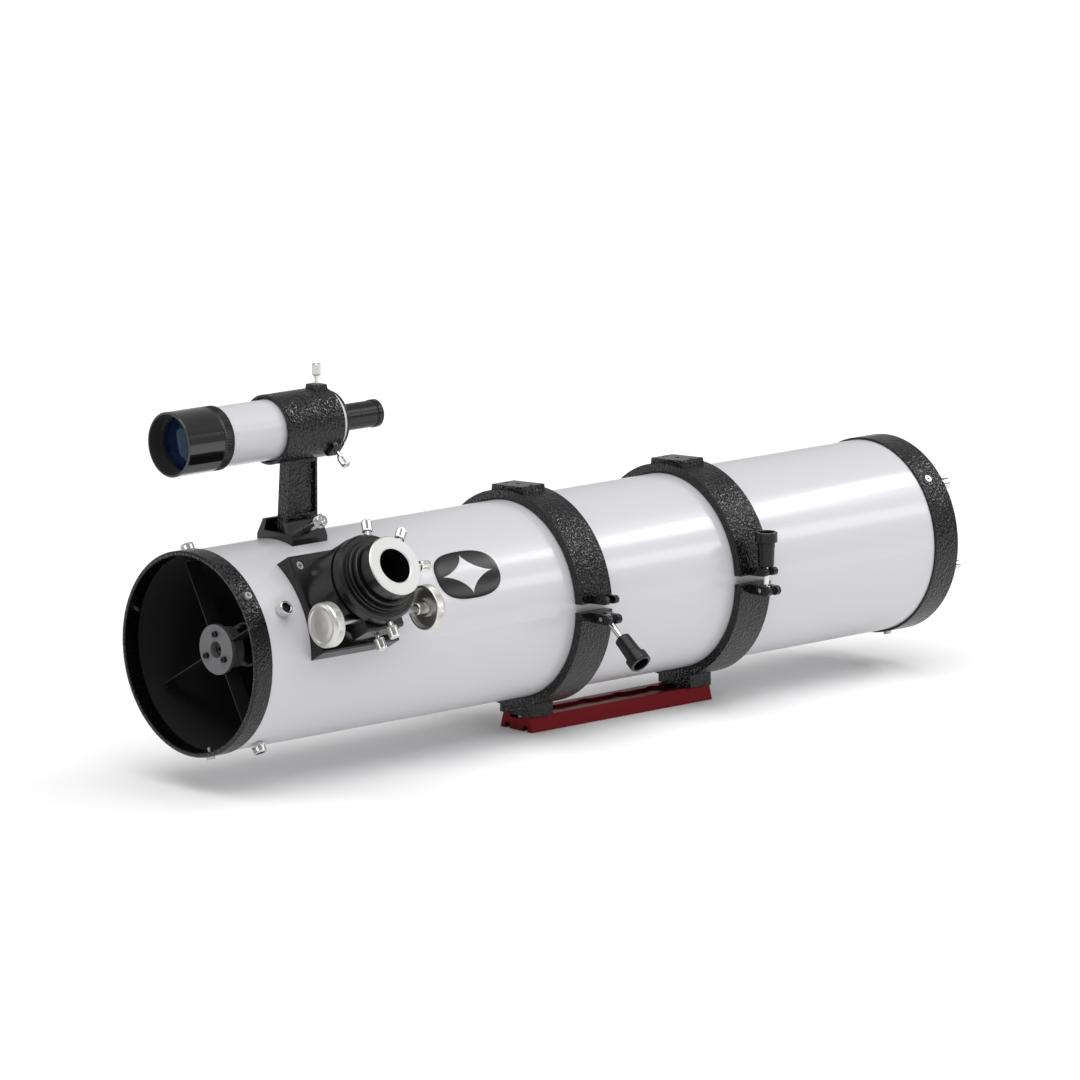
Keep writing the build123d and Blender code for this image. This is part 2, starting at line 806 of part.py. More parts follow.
with BuildPart() as mirror_plate:
    with BuildSketch(section(mirror_bottom)):
        Circle(plate_r)
        with Locations(on_circle(mirror_bolt_circle - plate_window_inset, lock_angles)):
            Circle(16.0, mode=Mode.SUBTRACT)
        Circle(18.0, mode=Mode.SUBTRACT)
        with Locations(on_circle(mirror_bolt_circle, knob_angles)):
            Circle(collimation_bolt_r + screw_gap, mode=Mode.SUBTRACT)
    extrude(amount=-plate_thickness)

clip_angles = lock_angles
with BuildPart() as mirror_clips:
    for angle in clip_angles:
        # post on the plate beside the mirror, and a finger over its edge
        with BuildSketch(outward(angle, mirror_face_back - 2.2, mirror_r + 0.5)):
            Rectangle(mirror_edge + 2.2, 12.0, align=(Align.MIN, Align.CENTER))
        extrude(amount=5.0)
        with BuildSketch(outward(angle, mirror_face_back - 2.2, mirror_r - 3.0)):
            Rectangle(1.7, 12.0, align=(Align.MIN, Align.CENTER))
        extrude(amount=8.5)

with BuildPart() as collimation_springs:
    with BuildSketch(section(plate_bottom)):
        with Locations(on_circle(mirror_bolt_circle, knob_angles)):
            Circle(5.5)
            Circle(4.0, mode=Mode.SUBTRACT)
    extrude(amount=-(cell_gap - tilt_room))

with BuildPart() as mirror_cell:
    with BuildSketch(section(cell_front)):
        Circle(tube_inner_r)
        Circle(20.0, mode=Mode.SUBTRACT)
        with Locations(on_circle(mirror_bolt_circle - cell_window_inset, lock_angles)):
            Circle(21.0, mode=Mode.SUBTRACT)
        with Locations(on_circle(mirror_bolt_circle, knob_angles)):
            Circle(collimation_bolt_r + running_gap, mode=Mode.SUBTRACT)
        with Locations(on_circle(mirror_bolt_circle, lock_angles)):
            Circle(lock_bolt_r, mode=Mode.SUBTRACT)
    extrude(amount=-cell_thickness)
    with BuildSketch(section(cell_front - cell_rim_width)):
        Circle(tube_inner_r)
        Circle(tube_inner_r - 3.0, mode=Mode.SUBTRACT)
    extrude(amount=-cell_rim_width)
    for angle in end_screw_angles:
        with BuildSketch(outward(angle, rear_screw_back, tube_inner_r - 8)):
            Circle(end_screw_r)
        extrude(amount=12, mode=Mode.SUBTRACT)


def mirror_bolt(angle, start, shank_r, head_start, head_r):
    """Bolt along the tube with a domed knob head, at the mirror's bolt circle."""
    spot = back(0) + radial(angle) * mirror_bolt_circle
    return turned(
        lengthwise(spot, (0, 1, 0), (1, 0, 0)),
        [
            (start, 0),
            (start, shank_r),
            (head_start, shank_r),
            (head_start, head_r - 0.8),
            (head_start + 0.8, head_r),
            (knob_tip_back - 1.0, head_r),
            (knob_tip_back, head_r - 1.0),
            (knob_tip_back, 0),
        ],
    )


collimation_knobs = [
    mirror_bolt(a, mirror_bottom + 0.8, collimation_bolt_r, cell_back + 1.0, collimation_knob_r)
    for a in knob_angles
]
lock_start = plate_bottom + tilt_room
lock_bolts = [mirror_bolt(a, lock_start, lock_bolt_r, cell_back, lock_knob_r) for a in lock_angles]
with BuildPart() as mirror_lock_screws:
    add([bolt.part for bolt in lock_bolts])

# ---- Focuser: base, housing, rollers, shaft -------------------------------

with BuildPart() as focuser_base:
    with BuildSketch(focuser(tube_r - 25)):
        Rectangle(2 * base_half_length, 2 * base_half_width)
    extrude(amount=base_top - tube_r + 25)
    top_edges = focuser_base.faces().sort_by(Axis(back(0), radial(focuser_angle)))[-1].edges()
    chamfer(top_edges, 1.5)
    with BuildSketch(section(focuser_back - 2 * base_half_length)):
        Circle(tube_r)
    extrude(amount=-4 * base_half_length, mode=Mode.SUBTRACT)
    with BuildSketch(focuser(tube_r - 25)):
        Circle(housing_bore_r)
    extrude(amount=40, mode=Mode.SUBTRACT)
    with BuildSketch(focuser(base_top)):
        with GridLocations(2 * base_screw_x, 2 * base_screw_y, 2, 2):
            Circle(base_screw_r)
    extrude(amount=-30, mode=Mode.SUBTRACT)
    with BuildSketch(focuser(base_top)):
        with GridLocations(2 * base_screw_x, 2 * base_screw_y, 2, 2):
            Circle(base_screw_head_r + side_gap)
    extrude(amount=-base_screw_sink, mode=Mode.SUBTRACT)

with BuildPart() as focuser_base_screws:
    with BuildSketch(focuser(base_top - base_screw_sink)):
        with GridLocations(2 * base_screw_x, 2 * base_screw_y, 2, 2):
            Circle(base_screw_head_r)
            Rectangle(0.9, 4.6, mode=Mode.SUBTRACT)
            Rectangle(4.6, 0.9, mode=Mode.SUBTRACT)
    extrude(amount=0.7 * base_screw_sink)
    with BuildSketch(focuser(base_top - base_screw_sink)):
        with GridLocations(2 * base_screw_x, 2 * base_screw_y, 2, 2):
            Circle(base_screw_r)
    extrude(amount=base_screw_sink - base_screw_length)

block_top = housing_top - side_gap
block_inner = -(drawtube_flat + screw_gap)
shaft_offset = -(drawtube_flat + running_gap + shaft_r)
roller_seat = drawtube_r + running_gap + roller_r
roller_heights = (base_top + 9.0, housing_top - 8.0)

with BuildPart() as focuser_housing:
    with BuildSketch(focuser(base_top)):
        Circle(housing_r)
        Circle(housing_bore_r, mode=Mode.SUBTRACT)
    extrude(amount=housing_top - base_top)
    # flat seat on the underside for the shaft block
    with BuildSketch(focuser(shaft_block_base)):
        with Locations((0, block_inner + 2.4)):
            Rectangle(2 * housing_r, housing_r, align=(Align.CENTER, Align.MAX))
    extrude(amount=housing_top, mode=Mode.SUBTRACT)
    # pockets for the four rollers
    for height in roller_heights:
        for angle in (90 - roller_angle, 90 + roller_angle):
            with BuildSketch(focuser(height - roller_r - side_gap)):
                with Locations(Location((0, 0), angle)):
                    with Locations((roller_seat, 0)):
                        Rectangle(2 * roller_r + 2 * side_gap, roller_width + 2 * side_gap)
            extrude(amount=2 * (roller_r + side_gap), mode=Mode.SUBTRACT)


def across_focuser(height, angle, distance):
    """Point beside the focuser's axis: angle from +Y towards the focuser's up side."""
    aside = Vector(0, 1, 0) * cos(radians(angle)) + focuser_up * sin(radians(angle))
    return back(focuser_back) + radial(focuser_angle) * height + aside * distance


with BuildPart() as focuser_rollers:
    for height in roller_heights:
        for angle in (90 - roller_angle, 90 + roller_angle):
            tangent = Vector(0, 1, 0) * -sin(radians(angle)) + focuser_up * cos(radians(angle))
            centre = across_focuser(height, angle, roller_seat)
            with BuildSketch(Plane(origin=centre - tangent * roller_width / 2, z_dir=tangent)):
                Circle(roller_r)
            extrude(amount=roller_width)

with BuildPart() as focus_shaft_block:
    with BuildSketch(focuser(shaft_block_base + side_gap)):
        with Locations((0, block_inner)):
            Rectangle(
                2 * shaft_block_half,
                shaft_block_depth + block_inner,
                align=(Align.CENTER, Align.MAX),
            )
    extrude(amount=block_top - shaft_block_base - side_gap)
    long_edges = focus_shaft_block.edges().filter_by(Axis(back(0), (0, 1, 0)))
    chamfer(long_edges.sort_by(Axis(back(0), focuser_up))[:2], 2.0)
    shaft_line = back(focuser_back) + radial(focuser_angle) * shaft_height
    shaft_line = shaft_line + focuser_up * shaft_offset
    shaft_start = Plane(origin=shaft_line - Vector(0, 2 * shaft_block_half, 0), z_dir=(0, 1, 0))
    with BuildSketch(shaft_start):
        Circle(shaft_r + running_gap)
    extrude(amount=4 * shaft_block_half, mode=Mode.SUBTRACT)
    # tapped hole for the lock screw
    lock_root = across_focuser(shaft_block_base + 9.0, -90, shaft_block_depth)
    with BuildSketch(Plane(origin=lock_root, z_dir=-focuser_up)):
        Circle(thumb_thread_r + running_gap)
    extrude(amount=-9.0, mode=Mode.SUBTRACT)

shaft_reach = focus_knob_offset - focus_knob_width / 2
focus_shaft = turned(
    lengthwise(shaft_line, (0, 1, 0), (1, 0, 0)),
    [
        (-shaft_reach, 0),
        (-shaft_reach, shaft_r),
        (shaft_reach, shaft_r),
        (shaft_reach, 0),
    ],
)


def focus_knob(direction):
    """Dished disc knob with a stepped hub that faces the focuser."""
    inner = focus_knob_offset - focus_knob_width / 2
    outer = focus_knob_offset + focus_knob_width / 2
    return turned(
        lengthwise(shaft_line, (0, direction, 0), (1, 0, 0)),
        [
            (inner - 8.0, shaft_r),
            (inner - 8.0, shaft_r + 1.6),
            (inner - 7.0, shaft_r + 2.2),
            (inner + 1.0, shaft_r + 2.2),
            (inner + 1.0, shaft_r + 5.0),
            (inner + 4.0, shaft_r + 5.0),
            (inner + 4.0, focus_knob_r - 3.2),
            (inner, focus_knob_r - 2.4),
            (inner, focus_knob_r - 0.6),
            (inner + 0.6, focus_knob_r),
            (outer - 2.5, focus_knob_r),
            (outer - 0.8, focus_knob_r - 1.2),
            (outer, focus_knob_r - 3.4),
            (outer - 1.2, 0),
            (inner, 0),
            (inner, shaft_r),
        ],
    )


focus_knob_left = focus_knob(-1)
focus_knob_right = focus_knob(1)


def thumbscrew(seat, direction, reach, head_r=thumb_head_r, side=None):
    """Knurled thumbscrew: reach of thread below its seat, then neck and head."""
    head = thumb_neck_length + thumb_head_length
    profile = [
        (-reach, 0),
        (-reach, thumb_thread_r),
        (0.4, thumb_thread_r),
        (0.4, thumb_neck_r),
        (thumb_neck_length, thumb_neck_r),
        (thumb_neck_length, head_r - 0.5),
        (thumb_neck_length + 0.5, head_r),
        (head - 0.7, head_r),
        (head, head_r - 0.7),
        (head, 0),
    ]
    return turned(lengthwise(seat, direction, side or (0, 1, 0)), profile)


focus_lock_screw = thumbscrew(lock_root, -focuser_up, 8.0)

# ---- Drawtube with its eyepiece holder, and the eyepiece adapter ----------

holder_foot = housing_top + side_gap
drawtube = turned(
    focuser_side,
    [
        (drawtube_foot, drawtube_bore_r),
        (drawtube_foot, drawtube_r),
        (holder_foot, drawtube_r),
        (holder_foot, drawtube_bore_r),
    ],
)
with drawtube:
    with BuildSketch(focuser(drawtube_foot)) as flat:
        with Locations((0, -drawtube_flat)):
            Rectangle(2 * drawtube_r, drawtube_r, align=(Align.CENTER, Align.MAX))
    extrude(flat.sketch, amount=holder_foot - drawtube_foot, mode=Mode.SUBTRACT)

eyepiece_holder = turned(
    focuser_side,
    [
        (holder_foot, drawtube_bore_r),
        (holder_foot, holder_r - 1.4),
        (holder_foot + 1.4, holder_r),
        (holder_top - 4.0, holder_r),
        (holder_top - 1.0, holder_r - 2.2),
        (holder_top - 1.0, holder_step_r + 0.6),
        (holder_top, holder_step_r),
        (holder_top + holder_step - 0.6, holder_step_r),
        (holder_top + holder_step, holder_step_r - 0.6),
        (holder_top + holder_step, drawtube_bore_r),
    ],
)
holder_screw_height = (holder_foot + holder_top - 2.0) / 2
holder_screw_angles = (75.0, -90.0)


def radial_screw(height, angle, seat_r, bore_r):
    """Thumbscrew that points at the focuser's axis and stops outside a bore."""
    aside = Vector(0, 1, 0) * cos(radians(angle)) + focuser_up * sin(radians(angle))
    seat = across_focuser(height, angle, seat_r)
    return thumbscrew(seat, aside, seat_r - bore_r - side_gap, side=radial(focuser_angle))


def radial_hole(height, angle, seat_r):
    """Cuts the running hole of a radial thumbscrew in the piece being built."""
    aside = Vector(0, 1, 0) * cos(radians(angle)) + focuser_up * sin(radians(angle))
    with BuildSketch(Plane(origin=across_focuser(height, angle, 0), z_dir=aside)) as hole:
        Circle(thumb_thread_r + running_gap)
    extrude(hole.sketch, amount=seat_r + 2, mode=Mode.SUBTRACT)


with eyepiece_holder:
    for angle in holder_screw_angles:
        radial_hole(holder_screw_height, angle, holder_r)
holder_screws = [
    radial_screw(holder_screw_height, a, holder_r, drawtube_bore_r) for a in holder_screw_angles
]

adapter_foot = holder_top + holder_step + side_gap
eyepiece_adapter = turned(
    focuser_side,
    [
        (adapter_barrel_foot, eyepiece_bore_r + 1.5),
        (adapter_barrel_foot, adapter_barrel_r - 0.8),
        (adapter_barrel_foot + 0.8, adapter_barrel_r),
        (adapter_foot, adapter_barrel_r),
        (adapter_foot, adapter_ring_r - 0.5),
        (adapter_foot + 0.5, adapter_ring_r),
        (adapter_foot + 4.5, adapter_ring_r),
        (adapter_foot + 5.0, adapter_ring_r - 0.5),
        (adapter_foot + 5.0, adapter_face_r - 2.0),
        (adapter_foot + 7.5, adapter_face_r - 2.0),
        (adapter_foot + 7.5, adapter_face_r),
        (adapter_top - 0.8, adapter_face_r),
        (adapter_top, adapter_face_r - 0.8),
        (adapter_top, eyepiece_bore_r + 0.8),
        (adapter_top - 0.8, eyepiece_bore_r),
        (adapter_barrel_foot + 6.0, eyepiece_bore_r),
    ],
)
adapter_screw_height = (adapter_foot + 7.5 + adapter_top) / 2
adapter_screw_angles = (50.0, -5.0)
with eyepiece_adapter:
    for angle in adapter_screw_angles:
        radial_hole(adapter_screw_height, angle, adapter_face_r)
adapter_screws = [
    radial_screw(adapter_screw_height, a, adapter_face_r, eyepiece_bore_r)
    for a in adapter_screw_angles
]

# ---- Finder telescope -----------------------------------------------------

finder_axis_z = axis_height + finder_height
finder_cell = turned(
    finder_side,
    [
        (dew_cap_front, dew_cap_r - dew_cap_wall),
        (dew_cap_front, dew_cap_r - 0.6),
        (dew_cap_front + 0.6, dew_cap_r),
        (dew_cap_back, dew_cap_r),
        (dew_cap_back, finder_tube_r + running_gap),
        (2.0, finder_tube_r + running_gap),
        (2.0, objective_r + 0.1),
        (-6.0, objective_r + 0.1),
        (-6.0, objective_r - 1.0),
        (-8.0, objective_r - 1.0),
        (-8.0, dew_cap_r - dew_cap_wall),
    ],
)
finder_lock_ring = turned(
    finder_side,
    [
        (dew_cap_back + side_gap, finder_tube_r + running_gap),
        (dew_cap_back + side_gap, lock_ring_r - 0.5),
        (dew_cap_back + side_gap + 0.5, lock_ring_r),
        (lock_ring_back - 0.5, lock_ring_r),
        (lock_ring_back, lock_ring_r - 0.5),
        (lock_ring_back, finder_tube_r + running_gap),
    ],
)
finder_objective = turned(
    finder_side,
    [
        (-6.0, 0),
        (-5.4, objective_r * 0.5),
        (-3.6, objective_r),
        (1.0, objective_r),
        (2.0, objective_r * 0.5),
        (2.4, 0),
    ],
)
finder_tube = turned(
    finder_side,
    [
        (5.0, finder_tube_r - finder_tube_wall),
        (5.0, finder_tube_r),
        (finder_tube_back, finder_tube_r),
        (finder_tube_back, finder_tube_r - finder_tube_wall),
    ],
)
finder_eyepiece = turned(
    finder_side,
    [
        (finder_tube_back, 0),
        (finder_tube_back, finder_tube_r - 0.3),
        (eye_flange_back - 1.5, finder_tube_r - 0.3),
        (eye_flange_back, finder_tube_r - 1.8),
        (eye_flange_back, eye_barrel_r - 0.6),
        (eye_barrel_back - eye_lip_length, eye_barrel_r - 0.6),
        (eye_barrel_back - eye_lip_length, eye_barrel_r),
        (eye_barrel_back - 0.8, eye_barrel_r),
        (eye_barrel_back, eye_barrel_r - 0.8),
        (eye_barrel_back, 7.5),
        (eye_barrel_back - 4.0, 6.0),
        (eye_barrel_back - 4.0, 0),
    ],
)

bracket_boss = 3.0
with BuildPart() as finder_bracket:
    with BuildSketch(Plane(origin=back(bracket_front, z=finder_height), z_dir=(0, 1, 0))):
        Circle(bracket_r)
    extrude(amount=bracket_back - bracket_front)
    # bosses under the three screws
    for angle in (*finder_screw_angles, plunger_angle):
        spot = back(finder_screw_back, z=finder_height) + radial(angle) * (bracket_r - 4)
        with BuildSketch(Plane(origin=spot, x_dir=(0, 1, 0), z_dir=radial(angle))):
            Rectangle(14.0, 16.0)
        extrude(amount=4 + bracket_boss, taper=8)
    # stem, recessed on both sides, down to the dovetail foot
    with BuildSketch(Plane.YZ.offset(-stem_half_width)):
        with BuildLine():
            Polyline(
                (stem_front_bottom - mouth_to_origin, axis_height + pocket_top - 1),
                (stem_back - mouth_to_origin, axis_height + pocket_top - 1),
                (stem_back - mouth_to_origin, finder_axis_z - bracket_bore_r),
                (stem_front_top - mouth_to_origin, finder_axis_z - bracket_bore_r),
                close=True,
            )
        make_face()
    extrude(amount=2 * stem_half_width)
    for side in (-1, 1):
        with BuildSketch(Plane.YZ.offset(side * stem_half_width)):
            with BuildLine():
                Polyline(
                    (stem_front_bottom + 8 - mouth_to_origin, axis_height + shoe_top + 4),
                    (stem_back - 2.5 - mouth_to_origin, axis_height + shoe_top + 4),
                    (stem_back - 2.5 - mouth_to_origin, finder_axis_z - bracket_r - 2),
                    (stem_front_top + 8 - mouth_to_origin, finder_axis_z - bracket_r - 2),
                    close=True,
                )
            make_face()
        extrude(amount=-side * stem_recess, mode=Mode.SUBTRACT)
    with BuildSketch(section(stem_front_bottom)):
        with BuildLine():
            Polyline(
                (-pocket_floor_half + side_gap, pocket_floor + side_gap),
                (pocket_floor_half - side_gap, pocket_floor + side_gap),
                (pocket_top_half - side_gap, pocket_top - side_gap),
                (-pocket_top_half + side_gap, pocket_top - side_gap),
                close=True,
            )
        make_face()
    extrude(amount=-(shoe_back - stem_front_bottom))
    with BuildSketch(Plane(origin=back(bracket_front - 1, z=finder_height), z_dir=(0, 1, 0))):
        Circle(bracket_bore_r)
    extrude(amount=bracket_back - bracket_front + 2, mode=Mode.SUBTRACT)
    for angle in (*finder_screw_angles, plunger_angle):
        spot = back(finder_screw_back, z=finder_height)
        with BuildSketch(Plane(origin=spot, z_dir=radial(angle))):
            Circle(thumb_thread_r + running_gap)
        extrude(amount=bracket_r + 6, mode=Mode.SUBTRACT)

ring_section = (bracket_bore_r - finder_tube_r) / 2
finder_o_ring = turned(
    finder_side,
    [
        (bracket_front + 3.0, finder_tube_r),
        (bracket_front + 3.0, bracket_bore_r),
        (bracket_front + 3.0 + 4 * ring_section, bracket_bore_r),
        (bracket_front + 3.0 + 4 * ring_section, finder_tube_r),
    ],
)


def finder_screw(angle, head_r=4.0, head_length=10.5):
    """Adjusting screw that points at the finder's axis and nearly meets its tube."""
    seat_r = bracket_r + bracket_boss
    head = seat_r + 8.0
    return turned(
        lengthwise(back(finder_screw_back, z=finder_height), radial(angle), (0, 1, 0)),
        [
            (finder_tube_r + side_gap, 0),
            (finder_tube_r + side_gap, thumb_thread_r),
            (head - 2.0, thumb_thread_r),
            (head - 2.0, 2.8),
            (head, 2.8),
            (head, head_r - 0.5),
            (head + 0.5, head_r),
            (head + head_length - 0.6, head_r),
            (head + head_length, head_r - 0.6),
            (head + head_length, 0),
        ],
    )


adjusting_screws = [finder_screw(angle) for angle in finder_screw_angles]
spring_plunger = turned(
    lengthwise(back(finder_screw_back, z=finder_height), radial(plunger_angle), (0, 1, 0)),
    [
        (finder_tube_r + side_gap, 0),
        (finder_tube_r + side_gap, thumb_thread_r),
        (bracket_r + bracket_boss + side_gap, thumb_thread_r),
        (bracket_r + bracket_boss + side_gap, 5.2),
        (bracket_r + bracket_boss + 15.0, 5.2),
        (bracket_r + bracket_boss + 16.5, 3.7),
        (bracket_r + bracket_boss + 16.5, 0),
    ],
)

# ---- Finder shoe and its clamp screw --------------------------------------

shoe_slope = degrees(atan2(shoe_top - shoe_edge, shoe_half_width - shoe_top_half))
clamp_angle = 90 - shoe_slope
clamp_share = 0.5
clamp_x = shoe_half_width + clamp_share * (shoe_top_half - shoe_half_width)
clamp_z = shoe_edge + clamp_share * (shoe_top - shoe_edge)
clamp_seat = back(clamp_back, clamp_x, clamp_z)
clamp_out = radial(clamp_angle)

with BuildPart() as finder_shoe:
    with BuildSketch(section(shoe_front)):
        with BuildLine():
            Polyline(
                (-shoe_half_width, tube_r - 12),
                (shoe_half_width, tube_r - 12),
                (shoe_half_width, shoe_edge),
                (shoe_top_half, shoe_top),
                (-shoe_top_half, shoe_top),
                (-shoe_half_width, shoe_edge),
                close=True,
            )
        make_face()
        with BuildLine():
            Polyline(
                (-pocket_floor_half, pocket_floor),
                (pocket_floor_half, pocket_floor),
                (pocket_top_half, pocket_top),
                (pocket_top_half, shoe_top + 1),
                (-pocket_top_half, shoe_top + 1),
                (-pocket_top_half, pocket_top),
                close=True,
            )
        make_face(mode=Mode.SUBTRACT)
        Circle(tube_r, mode=Mode.SUBTRACT)
    extrude(amount=-(shoe_back - shoe_front))
    with BuildSketch(Plane(origin=clamp_seat - clamp_out * 12, z_dir=clamp_out)):
        Circle(thumb_thread_r + running_gap)
    extrude(amount=20, mode=Mode.SUBTRACT)

foot_side_gap = 0.6
clamp_reach = (clamp_x - pocket_floor_half) / cos(radians(clamp_angle)) - foot_side_gap
shoe_clamp_screw = turned(
    lengthwise(clamp_seat, clamp_out, (0, 1, 0)),
    [
        (-clamp_reach, 0),
        (-clamp_reach, thumb_thread_r),
        (side_gap, thumb_thread_r),
        (side_gap, 4.4),
        (17.0, 4.4),
        (17.0, clamp_head_r - 0.6),
        (17.6, clamp_head_r),
        (23.0, clamp_head_r),
        (23.8, clamp_head_r - 0.8),
        (23.8, 0),
    ],
)

# ---- Finished pieces ------------------------------------------------------

pieces = {
    "dovetail_bar": dovetail_bar,
    "dovetail_bolts": dovetail_bolts,
    "front_ring_lower": front_ring_lower,
    "front_ring_upper": front_ring_upper,
    "front_ring_upper_felt": front_ring_upper_felt,
    "rear_ring_lower": rear_ring_lower,
    "rear_ring_upper": rear_ring_upper,
    "ring_felts": ring_felts,
    "ring_pins": ring_pins,
    "front_swing_bolt": front_swing_bolt,
    "rear_swing_bolt": rear_swing_bolt,
    "front_ring_knob": front_ring_knob,
    "rear_ring_knob": rear_ring_knob,
    "main_tube": main_tube,
    "front_end_ring": front_end_ring,
    "rear_end_ring": rear_end_ring,
    "end_ring_screws": end_ring_screws,
    "spider_vanes": spider_vanes,
    "spider_thumb_nuts": spider_thumb_nuts,
    "spider_hub": spider_hub,
    "secondary_screws": secondary_screws,
    "secondary_holder": secondary_holder,
    "secondary_mirror": secondary_mirror,
    "primary_mirror": primary_mirror,
    "mirror_plate": mirror_plate,
    "mirror_clips": mirror_clips,
    "collimation_springs": collimation_springs,
    "mirror_cell": mirror_cell,
    "mirror_lock_screws": mirror_lock_screws,
    "focuser_base": focuser_base,
    "focuser_base_screws": focuser_base_screws,
    "focuser_housing": focuser_housing,
    "focuser_rollers": focuser_rollers,
    "focus_shaft_block": focus_shaft_block,
    "focus_shaft": focus_shaft,
    "focus_knob_left": focus_knob_left,
    "focus_knob_right": focus_knob_right,
    "focus_lock_screw": focus_lock_screw,
    "drawtube": drawtube,
    "eyepiece_holder": eyepiece_holder,
    "eyepiece_adapter": eyepiece_adapter,
    "finder_cell": finder_cell,
    "finder_lock_ring": finder_lock_ring,
    "finder_objective": finder_objective,
    "finder_tube": finder_tube,
    "finder_eyepiece": finder_eyepiece,
    "finder_bracket": finder_bracket,
    "finder_o_ring": finder_o_ring,
    "finder_shoe": finder_shoe,
    "shoe_clamp_screw": shoe_clamp_screw,
    "finder_spring_plunger": spring_plunger,
}
for number, piece in enumerate(collimation_knobs, 1):
    pieces[f"collimation_knob_{number}"] = piece
for number, piece in enumerate(holder_screws, 1):
    pieces[f"holder_screw_{number}"] = piece
for number, piece in enumerate(adapter_screws, 1):
    pieces[f"adapter_screw_{number}"] = piece
for number, piece in enumerate(adjusting_screws, 1):
    pieces[f"finder_adjusting_screw_{number}"] = piece

os.makedirs("parts", exist_ok=True)
for name, piece in pieces.items():
    piece.part.label = name
    export_step(piece.part, f"parts/{name}.step")
print(len(pieces), "pieces")
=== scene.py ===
"""Looks of a 150 mm Newtonian reflector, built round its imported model.

Metres, in the model's own frame: the tube lies along Y with its mouth at -Y, +Z is up
and +X is the focuser's side. Turned pieces are profiles in millimetres carried round
an axis that the model gives.
"""

import json

import bmesh
import bpy
import numpy as np
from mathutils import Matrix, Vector


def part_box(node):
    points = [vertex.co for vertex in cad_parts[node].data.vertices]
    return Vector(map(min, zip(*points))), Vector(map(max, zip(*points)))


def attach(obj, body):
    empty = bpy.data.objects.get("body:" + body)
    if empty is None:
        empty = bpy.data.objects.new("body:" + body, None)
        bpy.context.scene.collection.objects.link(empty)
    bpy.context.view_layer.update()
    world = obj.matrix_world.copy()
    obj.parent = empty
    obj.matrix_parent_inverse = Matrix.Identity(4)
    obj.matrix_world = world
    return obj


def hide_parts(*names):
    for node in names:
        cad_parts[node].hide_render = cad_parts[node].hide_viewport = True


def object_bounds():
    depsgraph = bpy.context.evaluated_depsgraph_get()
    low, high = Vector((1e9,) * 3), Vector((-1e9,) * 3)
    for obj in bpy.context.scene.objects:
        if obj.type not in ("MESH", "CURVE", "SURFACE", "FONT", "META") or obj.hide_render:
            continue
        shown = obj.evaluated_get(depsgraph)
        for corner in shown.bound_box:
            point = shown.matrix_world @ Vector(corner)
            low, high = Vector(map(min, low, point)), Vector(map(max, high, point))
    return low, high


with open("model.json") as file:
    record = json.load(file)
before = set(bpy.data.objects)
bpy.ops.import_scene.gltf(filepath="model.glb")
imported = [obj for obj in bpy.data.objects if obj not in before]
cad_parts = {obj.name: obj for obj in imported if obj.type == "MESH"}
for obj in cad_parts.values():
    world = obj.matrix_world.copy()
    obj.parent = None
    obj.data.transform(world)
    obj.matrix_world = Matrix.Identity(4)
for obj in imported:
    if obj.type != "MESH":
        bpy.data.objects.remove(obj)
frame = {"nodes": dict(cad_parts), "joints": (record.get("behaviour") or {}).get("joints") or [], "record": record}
cad_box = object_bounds()

MM = 0.001
NODES = frame["nodes"]
JOINTS = {joint["name"]: joint for joint in frame["joints"]}


def reach_of(node, origin, axis):
    """Lowest and highest place of a node along an axis, and its radius, in mm."""
    mesh = NODES[node].data
    points = np.zeros(len(mesh.vertices) * 3)
    mesh.vertices.foreach_get("co", points)
    points = points.reshape(-1, 3) - np.asarray(origin)
    axis = np.asarray(axis) / np.linalg.norm(axis)
    along = points @ axis
    radius = np.linalg.norm(points - along[:, None] * axis, axis=1)
    return along.min() / MM, along.max() / MM, radius.max() / MM


ALONG_TUBE = (0.0, 1.0, 0.0)
TUBE_AXIS_HEIGHT = JOINTS["tube_turn"]["pos_m"][2]
TUBE_MIDDLE = (0.0, 0.0, TUBE_AXIS_HEIGHT)
TUBE_RADIUS = reach_of("main_tube", TUBE_MIDDLE, ALONG_TUBE)[2]

# ---- Camera, floor and studio light ---------------------------------------

CAMERA_SPOT = Vector((5.964, -5.504, 1.717))
CAMERA_AIM = Vector((0.0, -0.0833, 0.1723))
CAMERA_LENS = 300.5


def aimed(thing, spot, aim):
    """Stands a camera or light at spot and turns it to look at aim."""
    thing.location = spot
    thing.rotation_euler = (aim - spot).to_track_quat("-Z", "Y").to_euler()
    bpy.context.scene.collection.objects.link(thing)
    return thing


lens = bpy.data.cameras.new("studio_camera")
lens.lens = CAMERA_LENS
lens.sensor_width = 36.0
lens.clip_end = 100.0
camera = aimed(bpy.data.objects.new("studio_camera", lens), CAMERA_SPOT, CAMERA_AIM)
bpy.context.scene.camera = camera


def softbox(name, spot, width, height, watts):
    """A plain white rectangular light that faces the middle of the tube."""
    panel = bpy.data.lights.new(name, "AREA")
    panel.shape = "RECTANGLE"
    panel.size = width
    panel.size_y = height
    panel.energy = watts
    aimed(bpy.data.objects.new(name, panel), Vector(spot), CAMERA_AIM)


